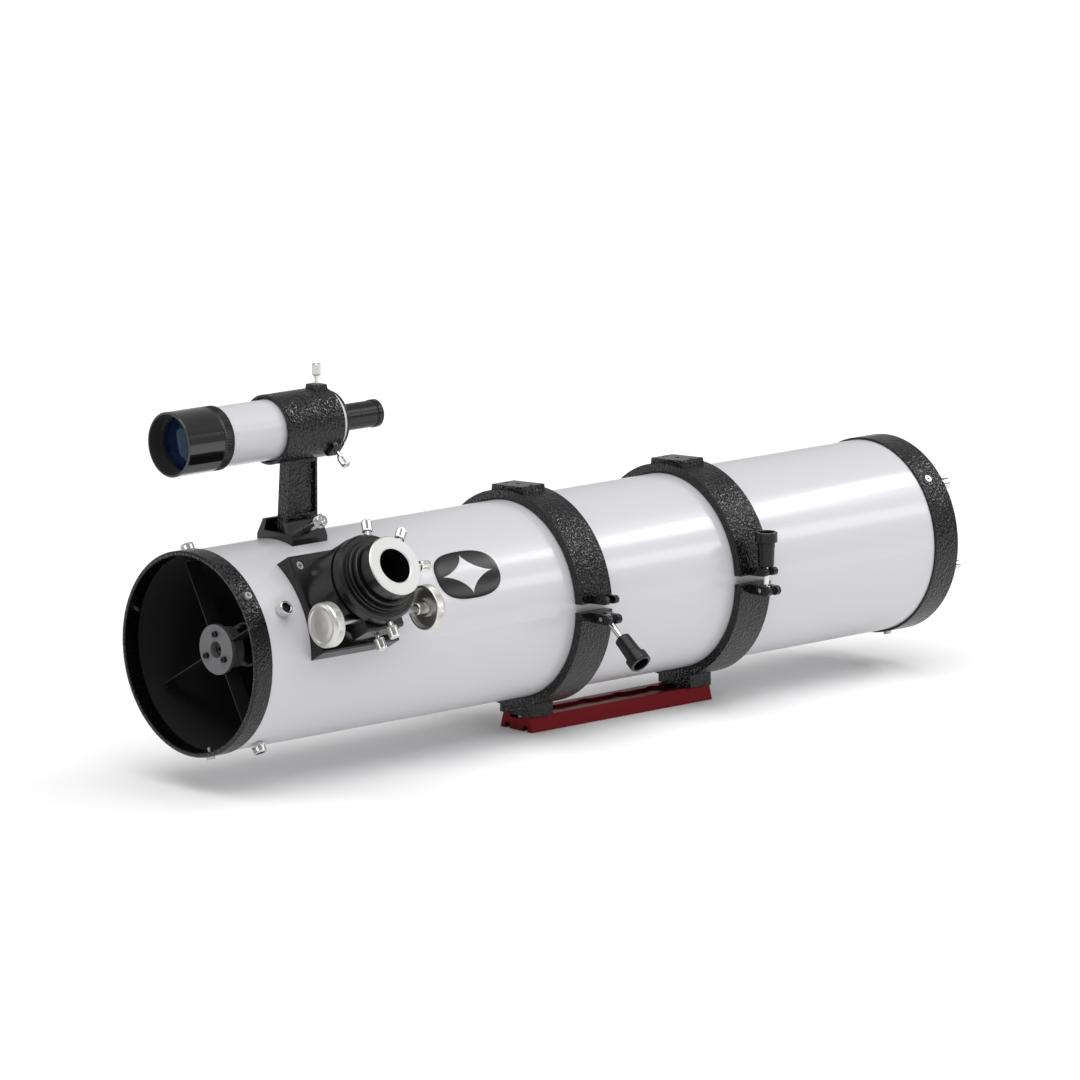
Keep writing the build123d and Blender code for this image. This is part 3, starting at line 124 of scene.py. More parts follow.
# one wide soft source above, even over the whole floor
OVERHEAD_SPREAD = 70.0
OVERHEAD_STRENGTH = 2.1
OVERHEAD_SPOT = Vector((0.8, -0.6, 3.0))
diffuser = bpy.data.lights.new("overhead_diffuser", "SUN")
diffuser.angle = np.radians(OVERHEAD_SPREAD)
diffuser.energy = OVERHEAD_STRENGTH
overhead = bpy.data.objects.new("overhead_diffuser", diffuser)
aimed(overhead, OVERHEAD_SPOT, CAMERA_AIM)
softbox("tail_side_strip", spot=(0.9, 2.3, 2.25), width=1.3, height=0.42, watts=17.0)
softbox("focuser_side_softbox", spot=(2.2, 2.3, 1.5), width=0.9, height=0.5, watts=7.0)
softbox("mouth_softbox", spot=(-1.6, -2.6, 1.2), width=1.0, height=1.0, watts=6.0)

SKY_STRENGTH = 0.42
sky = bpy.data.worlds.new("white_studio")
sky.use_nodes = True
sky.node_tree.nodes["Background"].inputs["Color"].default_value = (1, 1, 1, 1)
sky.node_tree.nodes["Background"].inputs["Strength"].default_value = SKY_STRENGTH
bpy.context.scene.world = sky
bpy.context.scene.view_settings.view_transform = "Standard"

# ---- Materials ------------------------------------------------------------


def paint(code):
    """Linear colour from an sRGB hex value."""
    srgb = np.array([int(code[i : i + 2], 16) for i in (1, 3, 5)]) / 255
    low = srgb / 12.92
    high = ((srgb + 0.055) / 1.055) ** 2.4
    return (*np.where(srgb <= 0.04045, low, high), 1.0)


def add(tree, kind, inputs=None, **settings):
    """Adds a node with its settings. Inputs are values, or sockets to link from."""
    made = tree.nodes.new("ShaderNode" + kind)
    for key, value in settings.items():
        setattr(made, key, value)
    for key, value in (inputs or {}).items():
        if isinstance(value, bpy.types.NodeSocket):
            tree.links.new(value, made.inputs[key])
        else:
            made.inputs[key].default_value = value
    return made


def finish(name, inputs):
    """A material with one Principled shader, its tree, shader and coordinates."""
    material = bpy.data.materials.new(name)
    material.use_nodes = True
    tree = material.node_tree
    tree.nodes.clear()
    shader = add(tree, "BsdfPrincipled", inputs)
    add(tree, "OutputMaterial", {"Surface": shader.outputs["BSDF"]})
    place = add(tree, "TexCoord").outputs["Object"]
    return material, tree, shader, place


def per_metre(millimetres):
    """Texture scale for a pattern that repeats every so many millimetres."""
    return 1000 / millimetres


def bumped(tree, shader, height, depth_mm, rounded_mm=0.0):
    """Raises the shader's surface by height times depth, over edges rounded if asked."""
    inputs = {"Height": height, "Distance": depth_mm * MM, "Strength": 1.0}
    if rounded_mm:
        edge = add(tree, "Bevel", {"Radius": rounded_mm * MM}, samples=4)
        inputs["Normal"] = edge.outputs["Normal"]
    bump = add(tree, "Bump", inputs)
    tree.links.new(bump.outputs["Normal"], shader.inputs["Normal"])


def varied(tree, shader, socket, field, low, high):
    """Lets a 0 to 1 field carry one of the shader's inputs between two values."""
    spread = add(tree, "MapRange", {"Value": field, "To Min": low, "To Max": high})
    tree.links.new(spread.outputs["Result"], shader.inputs[socket])


def noise(tree, place, size_mm, detail=2.0):
    """Soft noise with features about so many millimetres across."""
    return add(
        tree,
        "TexNoise",
        {"Vector": place, "Scale": per_metre(size_mm), "Detail": detail, "Roughness": 0.5},
    ).outputs["Fac"]


def within(tree, place, centre, reach_mm):
    """1 where a point lies nearer than so many mm to a line along the tube, else 0."""
    across = add(tree, "VectorMath", {0: place, 1: centre}, operation="SUBTRACT")
    flat = add(
        tree,
        "VectorMath",
        {0: across.outputs["Vector"], 1: (1.0, 0.0, 1.0)},
        operation="MULTIPLY",
    )
    radius = add(tree, "VectorMath", {0: flat.outputs["Vector"]}, operation="LENGTH")
    near = add(
        tree, "Math", {0: radius.outputs["Value"], 1: reach_mm * MM}, operation="LESS_THAN"
    )
    return near.outputs["Value"]


def two_toned(tree, shader, mask, plain, other):
    """Base colour that turns from plain to other where the mask is 1."""
    colour = add(
        tree, "Mix", {"Factor": mask, "A": paint(plain), "B": paint(other)}, data_type="RGBA"
    )
    tree.links.new(colour.outputs["Result"], shader.inputs["Base Color"])


ENAMEL = "#CBCBCF"
ENAMEL_SKIN = 0.4


def stove_enamel():
    """White stoved enamel on rolled steel, matt black inside the tube.

    A clear glassy top over a faint orange peel, so highlights stay soft-edged. The
    inside of the tube is blackened and scatters what little light reaches it.
    """
    material, tree, shader, place = finish(
        "stove_enamel_white",
        {"Coat Weight": 0.35, "Coat Roughness": 0.12},
    )
    inside = within(tree, place, TUBE_MIDDLE, TUBE_RADIUS - ENAMEL_SKIN)
    two_toned(tree, shader, inside, ENAMEL, "#101011")
    varied(tree, shader, "Roughness", inside, 0.3, 0.85)
    bumped(tree, shader, noise(tree, place, 3.0), 0.014)
    return material


def finder_enamel():
    """The same white enamel on the finder's tube, all over."""
    material, tree, shader, place = finish(
        "finder_enamel_white",
        {"Base Color": paint(ENAMEL), "Coat Weight": 0.35, "Coat Roughness": 0.12},
    )
    peel = noise(tree, place, 2.0)
    varied(tree, shader, "Roughness", peel, 0.26, 0.34)
    bumped(tree, shader, peel, 0.012)
    return material


DIMPLE_SIZE = 2.4
DIMPLE_DEPTH = 0.7
BEND_SIZE = 6.0
BEND_DEPTH = 3.0


def hammertone():
    """Black hammered paint on die castings: glossy, dimpled like beaten metal.

    Each dimple catches its own small highlight, which gives a lively sparkle. The
    dimples are rounded random cells, bent by a slower noise so that no rows show.
    """
    material, tree, shader, place = finish(
        "hammered_black_paint",
        {"Base Color": paint("#050506"), "Roughness": 0.2, "Specular IOR Level": 0.4},
    )
    warp = add(tree, "TexNoise", {"Vector": place, "Scale": per_metre(BEND_SIZE)})
    bent = add(
        tree,
        "VectorMath",
        {0: warp.outputs["Color"], 1: (BEND_DEPTH * MM,) * 3, 2: place},
        operation="MULTIPLY_ADD",
    )
    dimples = add(
        tree,
        "TexVoronoi",
        {"Vector": bent.outputs["Vector"], "Scale": per_metre(DIMPLE_SIZE), "Smoothness": 0.45},
        feature="SMOOTH_F1",
    )
    bumped(tree, shader, dimples.outputs["Distance"], DIMPLE_DEPTH, rounded_mm=0.8)
    return material


def black_anodised():
    """Black anodised aluminium, turned and bead-blasted: semi-gloss, faintly mottled."""
    material, tree, shader, place = finish(
        "black_anodised_aluminium", {"Base Color": paint("#0A0A0B"), "Specular IOR Level": 0.45}
    )
    grain = noise(tree, place, 0.5, detail=3.0)
    varied(tree, shader, "Roughness", grain, 0.2, 0.33)
    bumped(tree, shader, grain, 0.006, rounded_mm=0.3)
    return material


DEW_CAP_SKIN = 1.0


def dew_cap_anodised():
    """Polished black anodising outside the dew cap, dull dark grey within it.

    Outside it mirrors the lamps as clean bands; the inside is dull, to stop glare.
    """
    material, tree, shader, place = finish(
        "polished_black_anodising", {"Coat Weight": 0.6, "Coat Roughness": 0.04}
    )
    axis = JOINTS["finder_front_turn"]["pos_m"]
    rim = reach_of("finder_cell", axis, ALONG_TUBE)[2]
    inside = within(tree, place, axis, rim - DEW_CAP_SKIN)
    two_toned(tree, shader, inside, "#0A0A0B", "#1B1B1D")
    varied(tree, shader, "Roughness", inside, 0.12, 0.8)
    bumped(tree, shader, noise(tree, place, 0.6), 0.004, rounded_mm=0.3)
    return material


FACED_DEPTH = 0.85


def faced_adapter():
    """Black anodised adapter with a bare turned aluminium end.

    The end face and a thin rim below it are pale satin metal; the rest is black.
    """
    material, tree, shader, place = finish(
        "faced_black_anodising", {"Specular IOR Level": 0.6}
    )
    origin, axis = JOINTS["adapter_screw_a_turn"]["pos_m"], JOINTS["adapter_slide"]["axis"]
    top = reach_of("eyepiece_adapter", origin, axis)[1]
    from_origin = add(tree, "VectorMath", {0: place, 1: origin}, operation="SUBTRACT")
    height = add(
        tree,
        "VectorMath",
        {0: from_origin.outputs["Vector"], 1: axis},
        operation="DOT_PRODUCT",
    )
    face = add(
        tree,
        "Math",
        {0: height.outputs["Value"], 1: (top - FACED_DEPTH) * MM},
        operation="GREATER_THAN",
    ).outputs["Value"]
    two_toned(tree, shader, face, "#101012", "#D6D6D4")
    varied(tree, shader, "Metallic", face, 0.0, 1.0)
    varied(tree, shader, "Roughness", face, 0.24, 0.36)
    bumped(tree, shader, noise(tree, place, 0.5, detail=3.0), 0.006, rounded_mm=0.3)
    return material


def hub_enamel():
    """Flat grey paint on the spider's hub: soft and dull, paler than what is round it."""
    material, tree, shader, place = finish("flat_grey_paint", {"Base Color": paint("#6A6A6C")})
    grain = noise(tree, place, 0.8)
    varied(tree, shader, "Roughness", grain, 0.5, 0.65)
    bumped(tree, shader, grain, 0.02, rounded_mm=0.4)
    return material


def black_oxide():
    """Oiled black oxide on alloy steel cap screws: nearly black with a wet gleam."""
    material, tree, shader, place = finish(
        "oiled_black_oxide", {"Base Color": paint("#232325"), "Metallic": 0.7}
    )
    grain = noise(tree, place, 0.7)
    varied(tree, shader, "Roughness", grain, 0.16, 0.28)
    bumped(tree, shader, grain, 0.005, rounded_mm=0.2)
    return material


def red_anodised():
    """Deep red anodised aluminium extrusion: metal seen through a stained skin."""
    material, tree, shader, place = finish(
        "red_anodised_aluminium", {"Base Color": paint("#74141C"), "Metallic": 0.8}
    )
    grain = noise(tree, place, 0.6, detail=3.0)
    varied(tree, shader, "Roughness", grain, 0.3, 0.42)
    bumped(tree, shader, grain, 0.008, rounded_mm=0.4)
    return material


def machined_aluminium():
    """Bare turned aluminium with a fine satin grain, warm silver."""
    material, tree, shader, place = finish(
        "satin_machined_aluminium", {"Base Color": paint("#D2D0CB"), "Metallic": 1.0}
    )
    grain = noise(tree, place, 0.35, detail=3.0)
    varied(tree, shader, "Roughness", grain, 0.28, 0.42)
    bumped(tree, shader, grain, 0.006)
    return material


def nickel_plate():
    """Bright nickel-plated brass or steel hardware, with faint handling haze."""
    material, tree, shader, place = finish(
        "bright_nickel_plate", {"Base Color": paint("#D8D7D4"), "Metallic": 1.0}
    )
    haze = noise(tree, place, 3.0)
    varied(tree, shader, "Roughness", haze, 0.09, 0.2)
    bumped(tree, shader, noise(tree, place, 0.4), 0.003)
    return material


def plain_steel():
    """Cold-drawn steel for pins, springs and screws: grey with a brushed haze."""
    material, tree, shader, place = finish(
        "cold_drawn_steel", {"Base Color": paint("#A9A9AB"), "Metallic": 1.0}
    )
    haze = noise(tree, place, 0.8, detail=3.0)
    varied(tree, shader, "Roughness", haze, 0.22, 0.38)
    bumped(tree, shader, haze, 0.004)
    return material


def moulded_abs():
    """Injection-moulded black ABS with a fine spark-eroded texture."""
    material, tree, shader, place = finish(
        "moulded_black_abs", {"Base Color": paint("#0A0A0B"), "Specular IOR Level": 0.35}
    )
    grain = noise(tree, place, 0.7, detail=2.0)
    varied(tree, shader, "Roughness", grain, 0.2, 0.3)
    bumped(tree, shader, grain, 0.012, rounded_mm=0.4)
    return material


def blackened_steel():
    """Matt black sprayed sheet steel, dull so that it throws no glints down the tube."""
    material, tree, shader, place = finish(
        "matt_blackened_steel", {"Base Color": paint("#161617")}
    )
    grain = noise(tree, place, 0.8)
    varied(tree, shader, "Roughness", grain, 0.55, 0.75)
    bumped(tree, shader, grain, 0.02)
    return material


def pressed_felt():
    """Black pressed wool felt: no gloss, a fuzzy sheen at grazing angles."""
    material, tree, shader, place = finish(
        "black_wool_felt",
        {"Base Color": paint("#17171A"), "Roughness": 0.95, "Sheen Weight": 0.6},
    )
    bumped(tree, shader, noise(tree, place, 0.6, detail=4.0), 0.15)
    return material


def nitrile():
    """Black nitrile rubber of the O-ring, slightly greasy."""
    material, tree, shader, place = finish("black_nitrile", {"Base Color": paint("#111112")})
    grain = noise(tree, place, 1.0)
    varied(tree, shader, "Roughness", grain, 0.45, 0.6)
    bumped(tree, shader, grain, 0.01)
    return material


def silvered_glass():
    """Front-silvered mirror glass: an almost perfect reflection, faintly dusty."""
    material, tree, shader, place = finish(
        "aluminised_mirror", {"Base Color": paint("#E6E7EA"), "Metallic": 1.0}
    )
    varied(tree, shader, "Roughness", noise(tree, place, 6.0), 0.01, 0.05)
    return material


COATED_DEPTH = 2.0


def primary_glass():
    """Primary mirror: aluminised on its front, bare ground glass elsewhere.

    The front and the edge just behind it reflect almost perfectly; the back and the
    rest of the edge are a dull grey-green.
    """
    material, tree, shader, place = finish("aluminised_ground_glass", {})
    front = reach_of("primary_mirror", (0, 0, 0), ALONG_TUBE)[0] + COATED_DEPTH
    parts = add(tree, "SeparateXYZ", {"Vector": place})
    coated = add(
        tree, "Math", {0: parts.outputs["Y"], 1: front * MM}, operation="LESS_THAN"
    ).outputs["Value"]
    two_toned(tree, shader, coated, "#4E5A56", "#E6E7EA")
    varied(tree, shader, "Metallic", coated, 0.0, 1.0)
    varied(tree, shader, "Roughness", coated, 0.6, 0.02)
    return material


def coated_lens():
    """Lens glass with a blue-green anti-reflection coat, drawn opaque and deep blue."""
    material, tree, shader, place = finish(
        "coated_lens_glass",
        {"Specular Tint": paint("#3FA3B8"), "IOR": 1.5},
    )
    depth = noise(tree, place, 25.0)
    hue = add(
        tree,
        "Mix",
        {"Factor": depth, "A": paint("#04202B"), "B": paint("#16103A")},
        data_type="RGBA",
    )
    tree.links.new(hue.outputs["Result"], shader.inputs["Base Color"])
    varied(tree, shader, "Roughness", noise(tree, place, 8.0), 0.02, 0.05)
    return material


FINISHES = {
    "gloss_white_enamel": stove_enamel(),
    "black_hammertone": hammertone(),
    "black_anodised": black_anodised(),
    "satin_silver": machined_aluminium(),
    "chrome": nickel_plate(),
    "black_plastic": moulded_abs(),
    "red_anodised": red_anodised(),
    "black_felt": pressed_felt(),
    "steel": plain_steel(),
    "black_steel": blackened_steel(),
    "mirror_coating": silvered_glass(),
    "coated_glass": coated_lens(),
    "black_rubber": nitrile(),
}


def clothe(piece, material):
    """Gives a piece one material all over."""
    piece.data.materials.clear()
    piece.data.materials.append(material)


for part in frame["record"]["subparts"]:
    clothe(NODES[part["node"]], FINISHES[part["material_slot"]])
clothe(NODES["finder_tube"], finder_enamel())
clothe(NODES["finder_cell"], dew_cap_anodised())
clothe(NODES["eyepiece_adapter"], faced_adapter())
clothe(NODES["spider_hub"], hub_enamel())
clothe(NODES["primary_mirror"], primary_glass())
clothe(NODES["secondary_screws"], black_oxide())

# ---- Mesh from arrays -----------------------------------------------------

# points nearer than this become one point, in metres
WELD = 2e-6


def skin(name, grid, body, slot, closed=False, crease=32.0):
    """Mesh over a grid of points (rows, columns, 3), each row a closed loop.

    closed says whether the last row joins the first. Rows that shrink to a point
    become a pole.
    """
    rows, columns = grid.shape[:2]
    number = np.arange(rows * columns).reshape(rows, columns)
    low = number if closed else number[:-1]
    high = np.roll(number, -1, 0) if closed else number[1:]
    quads = np.stack([low, np.roll(low, -1, 1), np.roll(high, -1, 1), high], -1)
    mesh = bpy.data.meshes.new(name)
    mesh.from_pydata(grid.reshape(-1, 3).tolist(), [], quads.reshape(-1, 4).tolist())
    shell = bmesh.new()
    shell.from_mesh(mesh)
    bmesh.ops.remove_doubles(shell, verts=shell.verts, dist=WELD)
    bmesh.ops.recalc_face_normals(shell, faces=shell.faces)
    shell.to_mesh(mesh)
    shell.free()
    mesh.polygons.foreach_set("use_smooth", np.ones(len(mesh.polygons), bool))
    mesh.set_sharp_from_angle(angle=np.radians(crease))
    piece = bpy.data.objects.new(name, mesh)
    bpy.context.scene.collection.objects.link(piece)
    mesh.materials.append(FINISHES[slot])
    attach(piece, body)
    return piece


def eased(profile, radius, steps=4):
    """Profile with each corner cut back by radius and bridged by a quadratic arc."""
    before = np.roll(profile, 1, 0) - profile
    after = np.roll(profile, -1, 0) - profile
    before[0] = 0
    after[-1] = 0
    reach_in = np.linalg.norm(before, axis=1, keepdims=True)
    reach_out = np.linalg.norm(after, axis=1, keepdims=True)
    cut = np.minimum(radius, 0.45 * np.minimum(reach_in, reach_out))
    start = profile + before / np.maximum(reach_in, 1e-9) * cut
    end = profile + after / np.maximum(reach_out, 1e-9) * cut
    t = np.linspace(0, 1, steps)[None, :, None]
    arcs = (1 - t) ** 2 * start[:, None] + 2 * t * (1 - t) * profile[:, None]
    return (arcs + t**2 * end[:, None]).reshape(-1, 2)


def refined(profile, step):
    """Profile with extra points, so that no run is longer than about step."""
    runs = np.linalg.norm(np.diff(profile, axis=0), axis=1)
    length = np.concatenate([[0], np.cumsum(runs)])
    extra = np.arange(0, length[-1], step)
    stops = np.unique(np.concatenate([length, extra]))
    along = np.interp(stops, length, profile[:, 0])
    return np.stack([along, np.interp(stops, length, profile[:, 1])], 1)


def frame_of(axis):
    """Two unit vectors square to an axis."""
    axis = np.asarray(axis, float) / np.linalg.norm(axis)
    helper = np.array([0, 0, 1.0]) if abs(axis[2]) < 0.9 else np.array([0, 1.0, 0])
    one = np.cross(axis, helper)
    one /= np.linalg.norm(one)
    return axis, one, np.cross(axis, one)


def carried_round(origin, axis, profile, columns, relief=None):
    """Points of a profile (along, radius) in mm carried round an axis.

    point = origin + along * axis + (radius - relief) * (cos a * one + sin a * two).
    relief(angle, along) gives how deep a knurl or rib cuts, in mm.
    """
    axis, one, two = frame_of(axis)
    angle = np.linspace(0, 2 * np.pi, columns, endpoint=False)[None, :]
    along = profile[:, 0][:, None]
    radius = profile[:, 1][:, None] + np.zeros_like(angle)
    if relief is not None:
        radius = np.maximum(radius - relief(angle, along), 0)
    ring = np.cos(angle)[..., None] * one + np.sin(angle)[..., None] * two
    return np.asarray(origin) + MM * (along[..., None] * axis + radius[..., None] * ring)


# a knurl's ends fade out over this length
KNURL_FADE = 0.5


def ridge(phase):
    """Triangle wave from 0 to 1 and back, once for each turn of phase."""
    return np.abs(2 * (phase % 1.0) - 1)


def knurl(count, depth, low, high):
    """Cut of a straight knurl: ridges round a head between two places along its axis."""

    def cut(angle, along):
        fade = np.clip(np.minimum(along - low, high - along) / KNURL_FADE, 0, 1)
        return depth * fade * ridge(count * angle / (2 * np.pi))

    return cut


# ---- Knurled screws and knobs ---------------------------------------------

COLUMNS_PER_RIB = 6

SHANK_RADIUS = 1.95
COLLAR_RADIUS = 3.0
SCREW_RIBS = 30


def thumbscrew(node, body, joint, head_length, neck_length):
    """Nickel-plated thumbscrew with a straight-knurled head and a grooved neck.

    Its profile runs from the thread's tip up the neck to the head, whose end is
    slightly dished.
    """
    origin, axis = JOINTS[joint]["pos_m"], JOINTS[joint]["axis"]
    tip, top, head = reach_of(node, origin, axis)
    base = top - head_length
    neck = base - neck_length
    shank = [(tip, 0), (tip, SHANK_RADIUS), (neck + 0.4, SHANK_RADIUS)]
    collar = [(neck + 0.4, COLLAR_RADIUS), (base, COLLAR_RADIUS)]
    rim = [(base, head - 0.5), (base + 0.5, head), (top - 0.7, head), (top - 0.05, head - 0.8)]
    dish = [(top - 0.05, head - 1.6), (top - 0.5, head - 2.0), (top - 0.5, 0)]
    profile = refined(eased(np.array(shank + collar + rim + dish), 0.18), 0.8)
    ribs = knurl(SCREW_RIBS, 0.3, base + 0.7, top - 0.7)
    grid = carried_round(origin, axis, profile, SCREW_RIBS * COLUMNS_PER_RIB, ribs)
    piece = skin(node + "_knurled", grid, body, "chrome")
    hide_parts(node)


for letter, number in (("a", 1), ("b", 2)):
    for node, body, head_length, neck_length in (
        (f"holder_screw_{number}", f"holder_screw_{letter}", 11, 4),
        (f"adapter_screw_{number}", f"adapter_screw_{letter}", 11, 4),
        (f"finder_adjusting_screw_{number}", f"adjusting_{letter}", 10.5, 2),
    ):
        thumbscrew(node, body, body + "_turn", head_length, neck_length)
thumbscrew("focus_lock_screw", "focus_lock", "focus_lock_turn", 11, 4)


KNOB_THICKNESS = 11.0
KNOB_RIBS = 120
KNOB_COLUMNS_PER_RIB = 4


def focus_knob(node, direction):
    """Satin aluminium focus knob: dished outer face, finely knurled rim, stepped hub.

    The outer face is a shallow dome that turns down into a ring groove near the rim.
    """
    origin = JOINTS["focus_turn"]["pos_m"]
    axis = np.array([0.0, direction, 0.0])
    hub, face, rim = reach_of(node, origin, axis)
    inner = face - KNOB_THICKNESS
    sleeve = [(hub, 3.0), (hub, 4.6), (hub + 1.0, 5.2), (inner + 1.0, 5.2)]
    web = [(inner + 1.0, 8.0), (inner + 4.0, 8.0), (inner + 4.0, rim - 3.2)]
    skirt = [(inner, rim - 2.4), (inner, rim - 0.6), (inner + 0.6, rim), (face - 2.5, rim)]
    shoulder = [(face - 0.9, rim - 1.1), (face, rim - 3.2), (face, rim - 4.2)]
    dome = [(face - 0.7, rim - 5.4), (face - 0.25, rim * 0.5), (face - 0.05, 0)]
    outline = np.array(sleeve + web + skirt + shoulder + dome)
    profile = refined(eased(outline, 0.35), 1.2)
    ribs = knurl(KNOB_RIBS, 0.25, inner + 0.8, face - 2.6)
    grid = carried_round(origin, axis, profile, KNOB_RIBS * KNOB_COLUMNS_PER_RIB, ribs)
    piece = skin(node + "_knurled", grid, "focus_shaft", "satin_silver")
    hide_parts(node)


focus_knob("focus_knob_left", -1.0)
focus_knob("focus_knob_right", 1.0)


LOCK_RING_BORE = 27.05
LOCK_RING_RIBS = 72


def finder_lock_ring():
    """Black lock ring behind the dew cap, with straight ribs for the fingers."""
    origin = JOINTS["finder_ring_turn"]["pos_m"]
    low, high, rim = reach_of("finder_lock_ring", origin, ALONG_TUBE)
    near_side = [(low, LOCK_RING_BORE), (low, rim - 0.5), (low + 0.5, rim)]
    far_side = [(high - 0.5, rim), (high, rim - 0.5), (high, LOCK_RING_BORE)]
    profile = refined(eased(np.array(near_side + far_side), 0.2), 1.0)
    ribs = knurl(LOCK_RING_RIBS, 0.5, low + 1.4, high - 1.4)
    columns = LOCK_RING_RIBS * COLUMNS_PER_RIB
    grid = carried_round(origin, ALONG_TUBE, profile, columns, ribs)
    piece = skin("finder_lock_ring_ribbed", grid, "finder_ring", "black_anodised", closed=True)
    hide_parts("finder_lock_ring")


finder_lock_ring()


CLAMP_HEAD_LENGTH = 6.8
CLAMP_BARREL_LENGTH = 16.7
CLAMP_BARREL_RADIUS = 4.35
CLAMP_RIBS = 36


def shoe_clamp_screw():
    """Nickel-plated clamp screw: long plain barrel, then a straight-knurled head."""
    origin, axis = JOINTS["shoe_clamp_turn"]["pos_m"], JOINTS["shoe_clamp_turn"]["axis"]
    tip, top, head = reach_of("shoe_clamp_screw", origin, axis)
    base = top - CLAMP_HEAD_LENGTH
    seat = base - CLAMP_BARREL_LENGTH
    shank = [(tip, 0), (tip, SHANK_RADIUS), (seat, SHANK_RADIUS)]
    barrel = [(seat, CLAMP_BARREL_RADIUS), (base, CLAMP_BARREL_RADIUS)]
    rim = [(base, head - 0.6), (base + 0.6, head), (top - 0.8, head), (top, head - 0.8)]
    dish = [(top, 2.2), (top - 0.7, 1.7), (top - 0.7, 0)]
    profile = refined(eased(np.array(shank + barrel + rim + dish), 0.2), 0.8)
    ribs = knurl(CLAMP_RIBS, 0.35, base + 0.7, top - 0.8)
    grid = carried_round(origin, axis, profile, CLAMP_RIBS * COLUMNS_PER_RIB, ribs)
    piece = skin("shoe_clamp_screw_knurled", grid, "shoe_clamp", "chrome")
    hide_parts("shoe_clamp_screw")


shoe_clamp_screw()

# ---- Spider thumb nuts ----------------------------------------------------

NUT_LENGTH = 9.0
NUT_RADIUS = 6.2
NUT_HOLLOW = 3.8
NUT_WALL = 1.9
NUT_BORE = 2.05
NUT_RIBS = 32
VANE_BOLT_ANGLES = (30, 120, 210, 300)


def spider_thumb_nuts():
    """Four knurled thumb nuts round the tube, each hollow at its outer end.

    Their profile is a closed ring carried round each vane bolt. The hollow's faces take
    a matt black finish as painted shade, standing in for the shade that falls inside the hollow.
    """
    low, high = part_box("spider_thumb_nuts")
    middle = (0.0, (low.y + high.y) / 2, TUBE_AXIS_HEIGHT)
    for number, turn in enumerate(np.radians(VANE_BOLT_ANGLES), 1):
        axis = np.array([np.cos(turn), 0.0, np.sin(turn)])
        top = reach_of("spider_thumb_nuts", middle, axis)[1]
        seat = top - NUT_LENGTH
        floor_of_hollow = top - NUT_HOLLOW
        mouth = NUT_RADIUS - NUT_WALL
        step = [(seat, NUT_BORE), (seat, NUT_RADIUS - 0.9), (seat + 1.0, NUT_RADIUS - 0.9)]
        grip = [(seat + 1.6, NUT_RADIUS), (top - 0.6, NUT_RADIUS), (top, NUT_RADIUS - 0.6)]
        lip = [(top, mouth + 0.4), (top - 0.4, mouth)]
        hollow = [(floor_of_hollow, mouth), (floor_of_hollow, NUT_BORE)]
        profile = refined(eased(np.array(step + grip + lip + hollow), 0.15), 0.7)
        ribs = knurl(NUT_RIBS, 0.3, seat + 1.8, top - 0.7)
        grid = carried_round(middle, axis, profile, NUT_RIBS * COLUMNS_PER_RIB, ribs)
        piece = skin(f"spider_thumb_nut_{number}", grid, "optical_tube", "chrome", closed=True)
        # painted shade: the nut's plated hollow is drawn matt black for the shade inside it
        paint_hollow_shade(piece, middle, axis, mouth + 0.1, floor_of_hollow - 0.2)
        if number == 1:
            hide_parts("spider_thumb_nuts")


def paint_hollow_shade(piece, origin, axis, reach, above):
    """Painted shade: dark finish on faces within reach of an axis and above a height, both in mm."""
    mesh = piece.data
    mesh.materials.append(FINISHES["black_steel"])
    centres = np.zeros(len(mesh.polygons) * 3)
    mesh.polygons.foreach_get("center", centres)
    centres = (centres.reshape(-1, 3) - np.asarray(origin)) / MM
    along = centres @ axis
    radius = np.linalg.norm(centres - along[:, None] * axis, axis=1)
    # faces inside the hollow get the dark finish as painted shade
    painted_shade = (radius < reach) & (along > above)
    mesh.polygons.foreach_set("material_index", painted_shade.astype(np.int32))


spider_thumb_nuts()

# ---- Finder's eye lens ----------------------------------------------------


EYE_LENS_RADIUS = 6.0
EYE_LENS_BULGE = 0.9
EYE_LENS_EDGE = 0.35
EYE_LENS_DEPTH = 3.95


def finder_eye_lens():
    """Eye lens in the finder's eyepiece: a shallow dome on a flat back.

    height(r) = back + edge + bulge * (1 - (r / R)^2).
    """
    origin = JOINTS["finder_front_turn"]["pos_m"]
    back = reach_of("finder_eyepiece", origin, ALONG_TUBE)[1] - EYE_LENS_DEPTH
    radius = np.linspace(EYE_LENS_RADIUS, 0, 12)
    dome = back + EYE_LENS_EDGE + EYE_LENS_BULGE * (1 - (radius / EYE_LENS_RADIUS) ** 2)
    rear = [(back, 0), (back, EYE_LENS_RADIUS)]
    profile = np.concatenate([rear, np.stack([dome, radius], 1)])
    grid = carried_round(origin, ALONG_TUBE, profile, 64)
    skin("finder_eye_lens", grid, "finder", "coated_glass")


finder_eye_lens()

# ---- Badge ----------------------------------------------------------------

BADGE_BACK = 262.0
BADGE_TURN = 33.0
BADGE_HALF_LENGTH = 37.0
BADGE_HALF_HEIGHT = 23.0
BADGE_THICKNESS = 0.5
BADGE_POWER = 2.6
BADGE_EDGE_GROWTH = 1.05
BADGE_GAP = 0.03
BADGE_ROUNDING = 0.12
STAR_HALF_LENGTH = 30.0
STAR_HALF_HEIGHT = 19.0


def on_tube(along, around, height):
    """Points on the tube's skin from mm along it, mm round it and mm off it."""
    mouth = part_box("front_end_ring")[0].y / MM
    turn = np.radians(BADGE_TURN) + around / TUBE_RADIUS
    radius = TUBE_RADIUS + height
    x = radius * np.cos(turn)
    z = radius * np.sin(turn) + TUBE_AXIS_HEIGHT / MM
    y = mouth + BADGE_BACK + along + np.zeros_like(x)
    return np.stack([x, y, z], -1) * MM


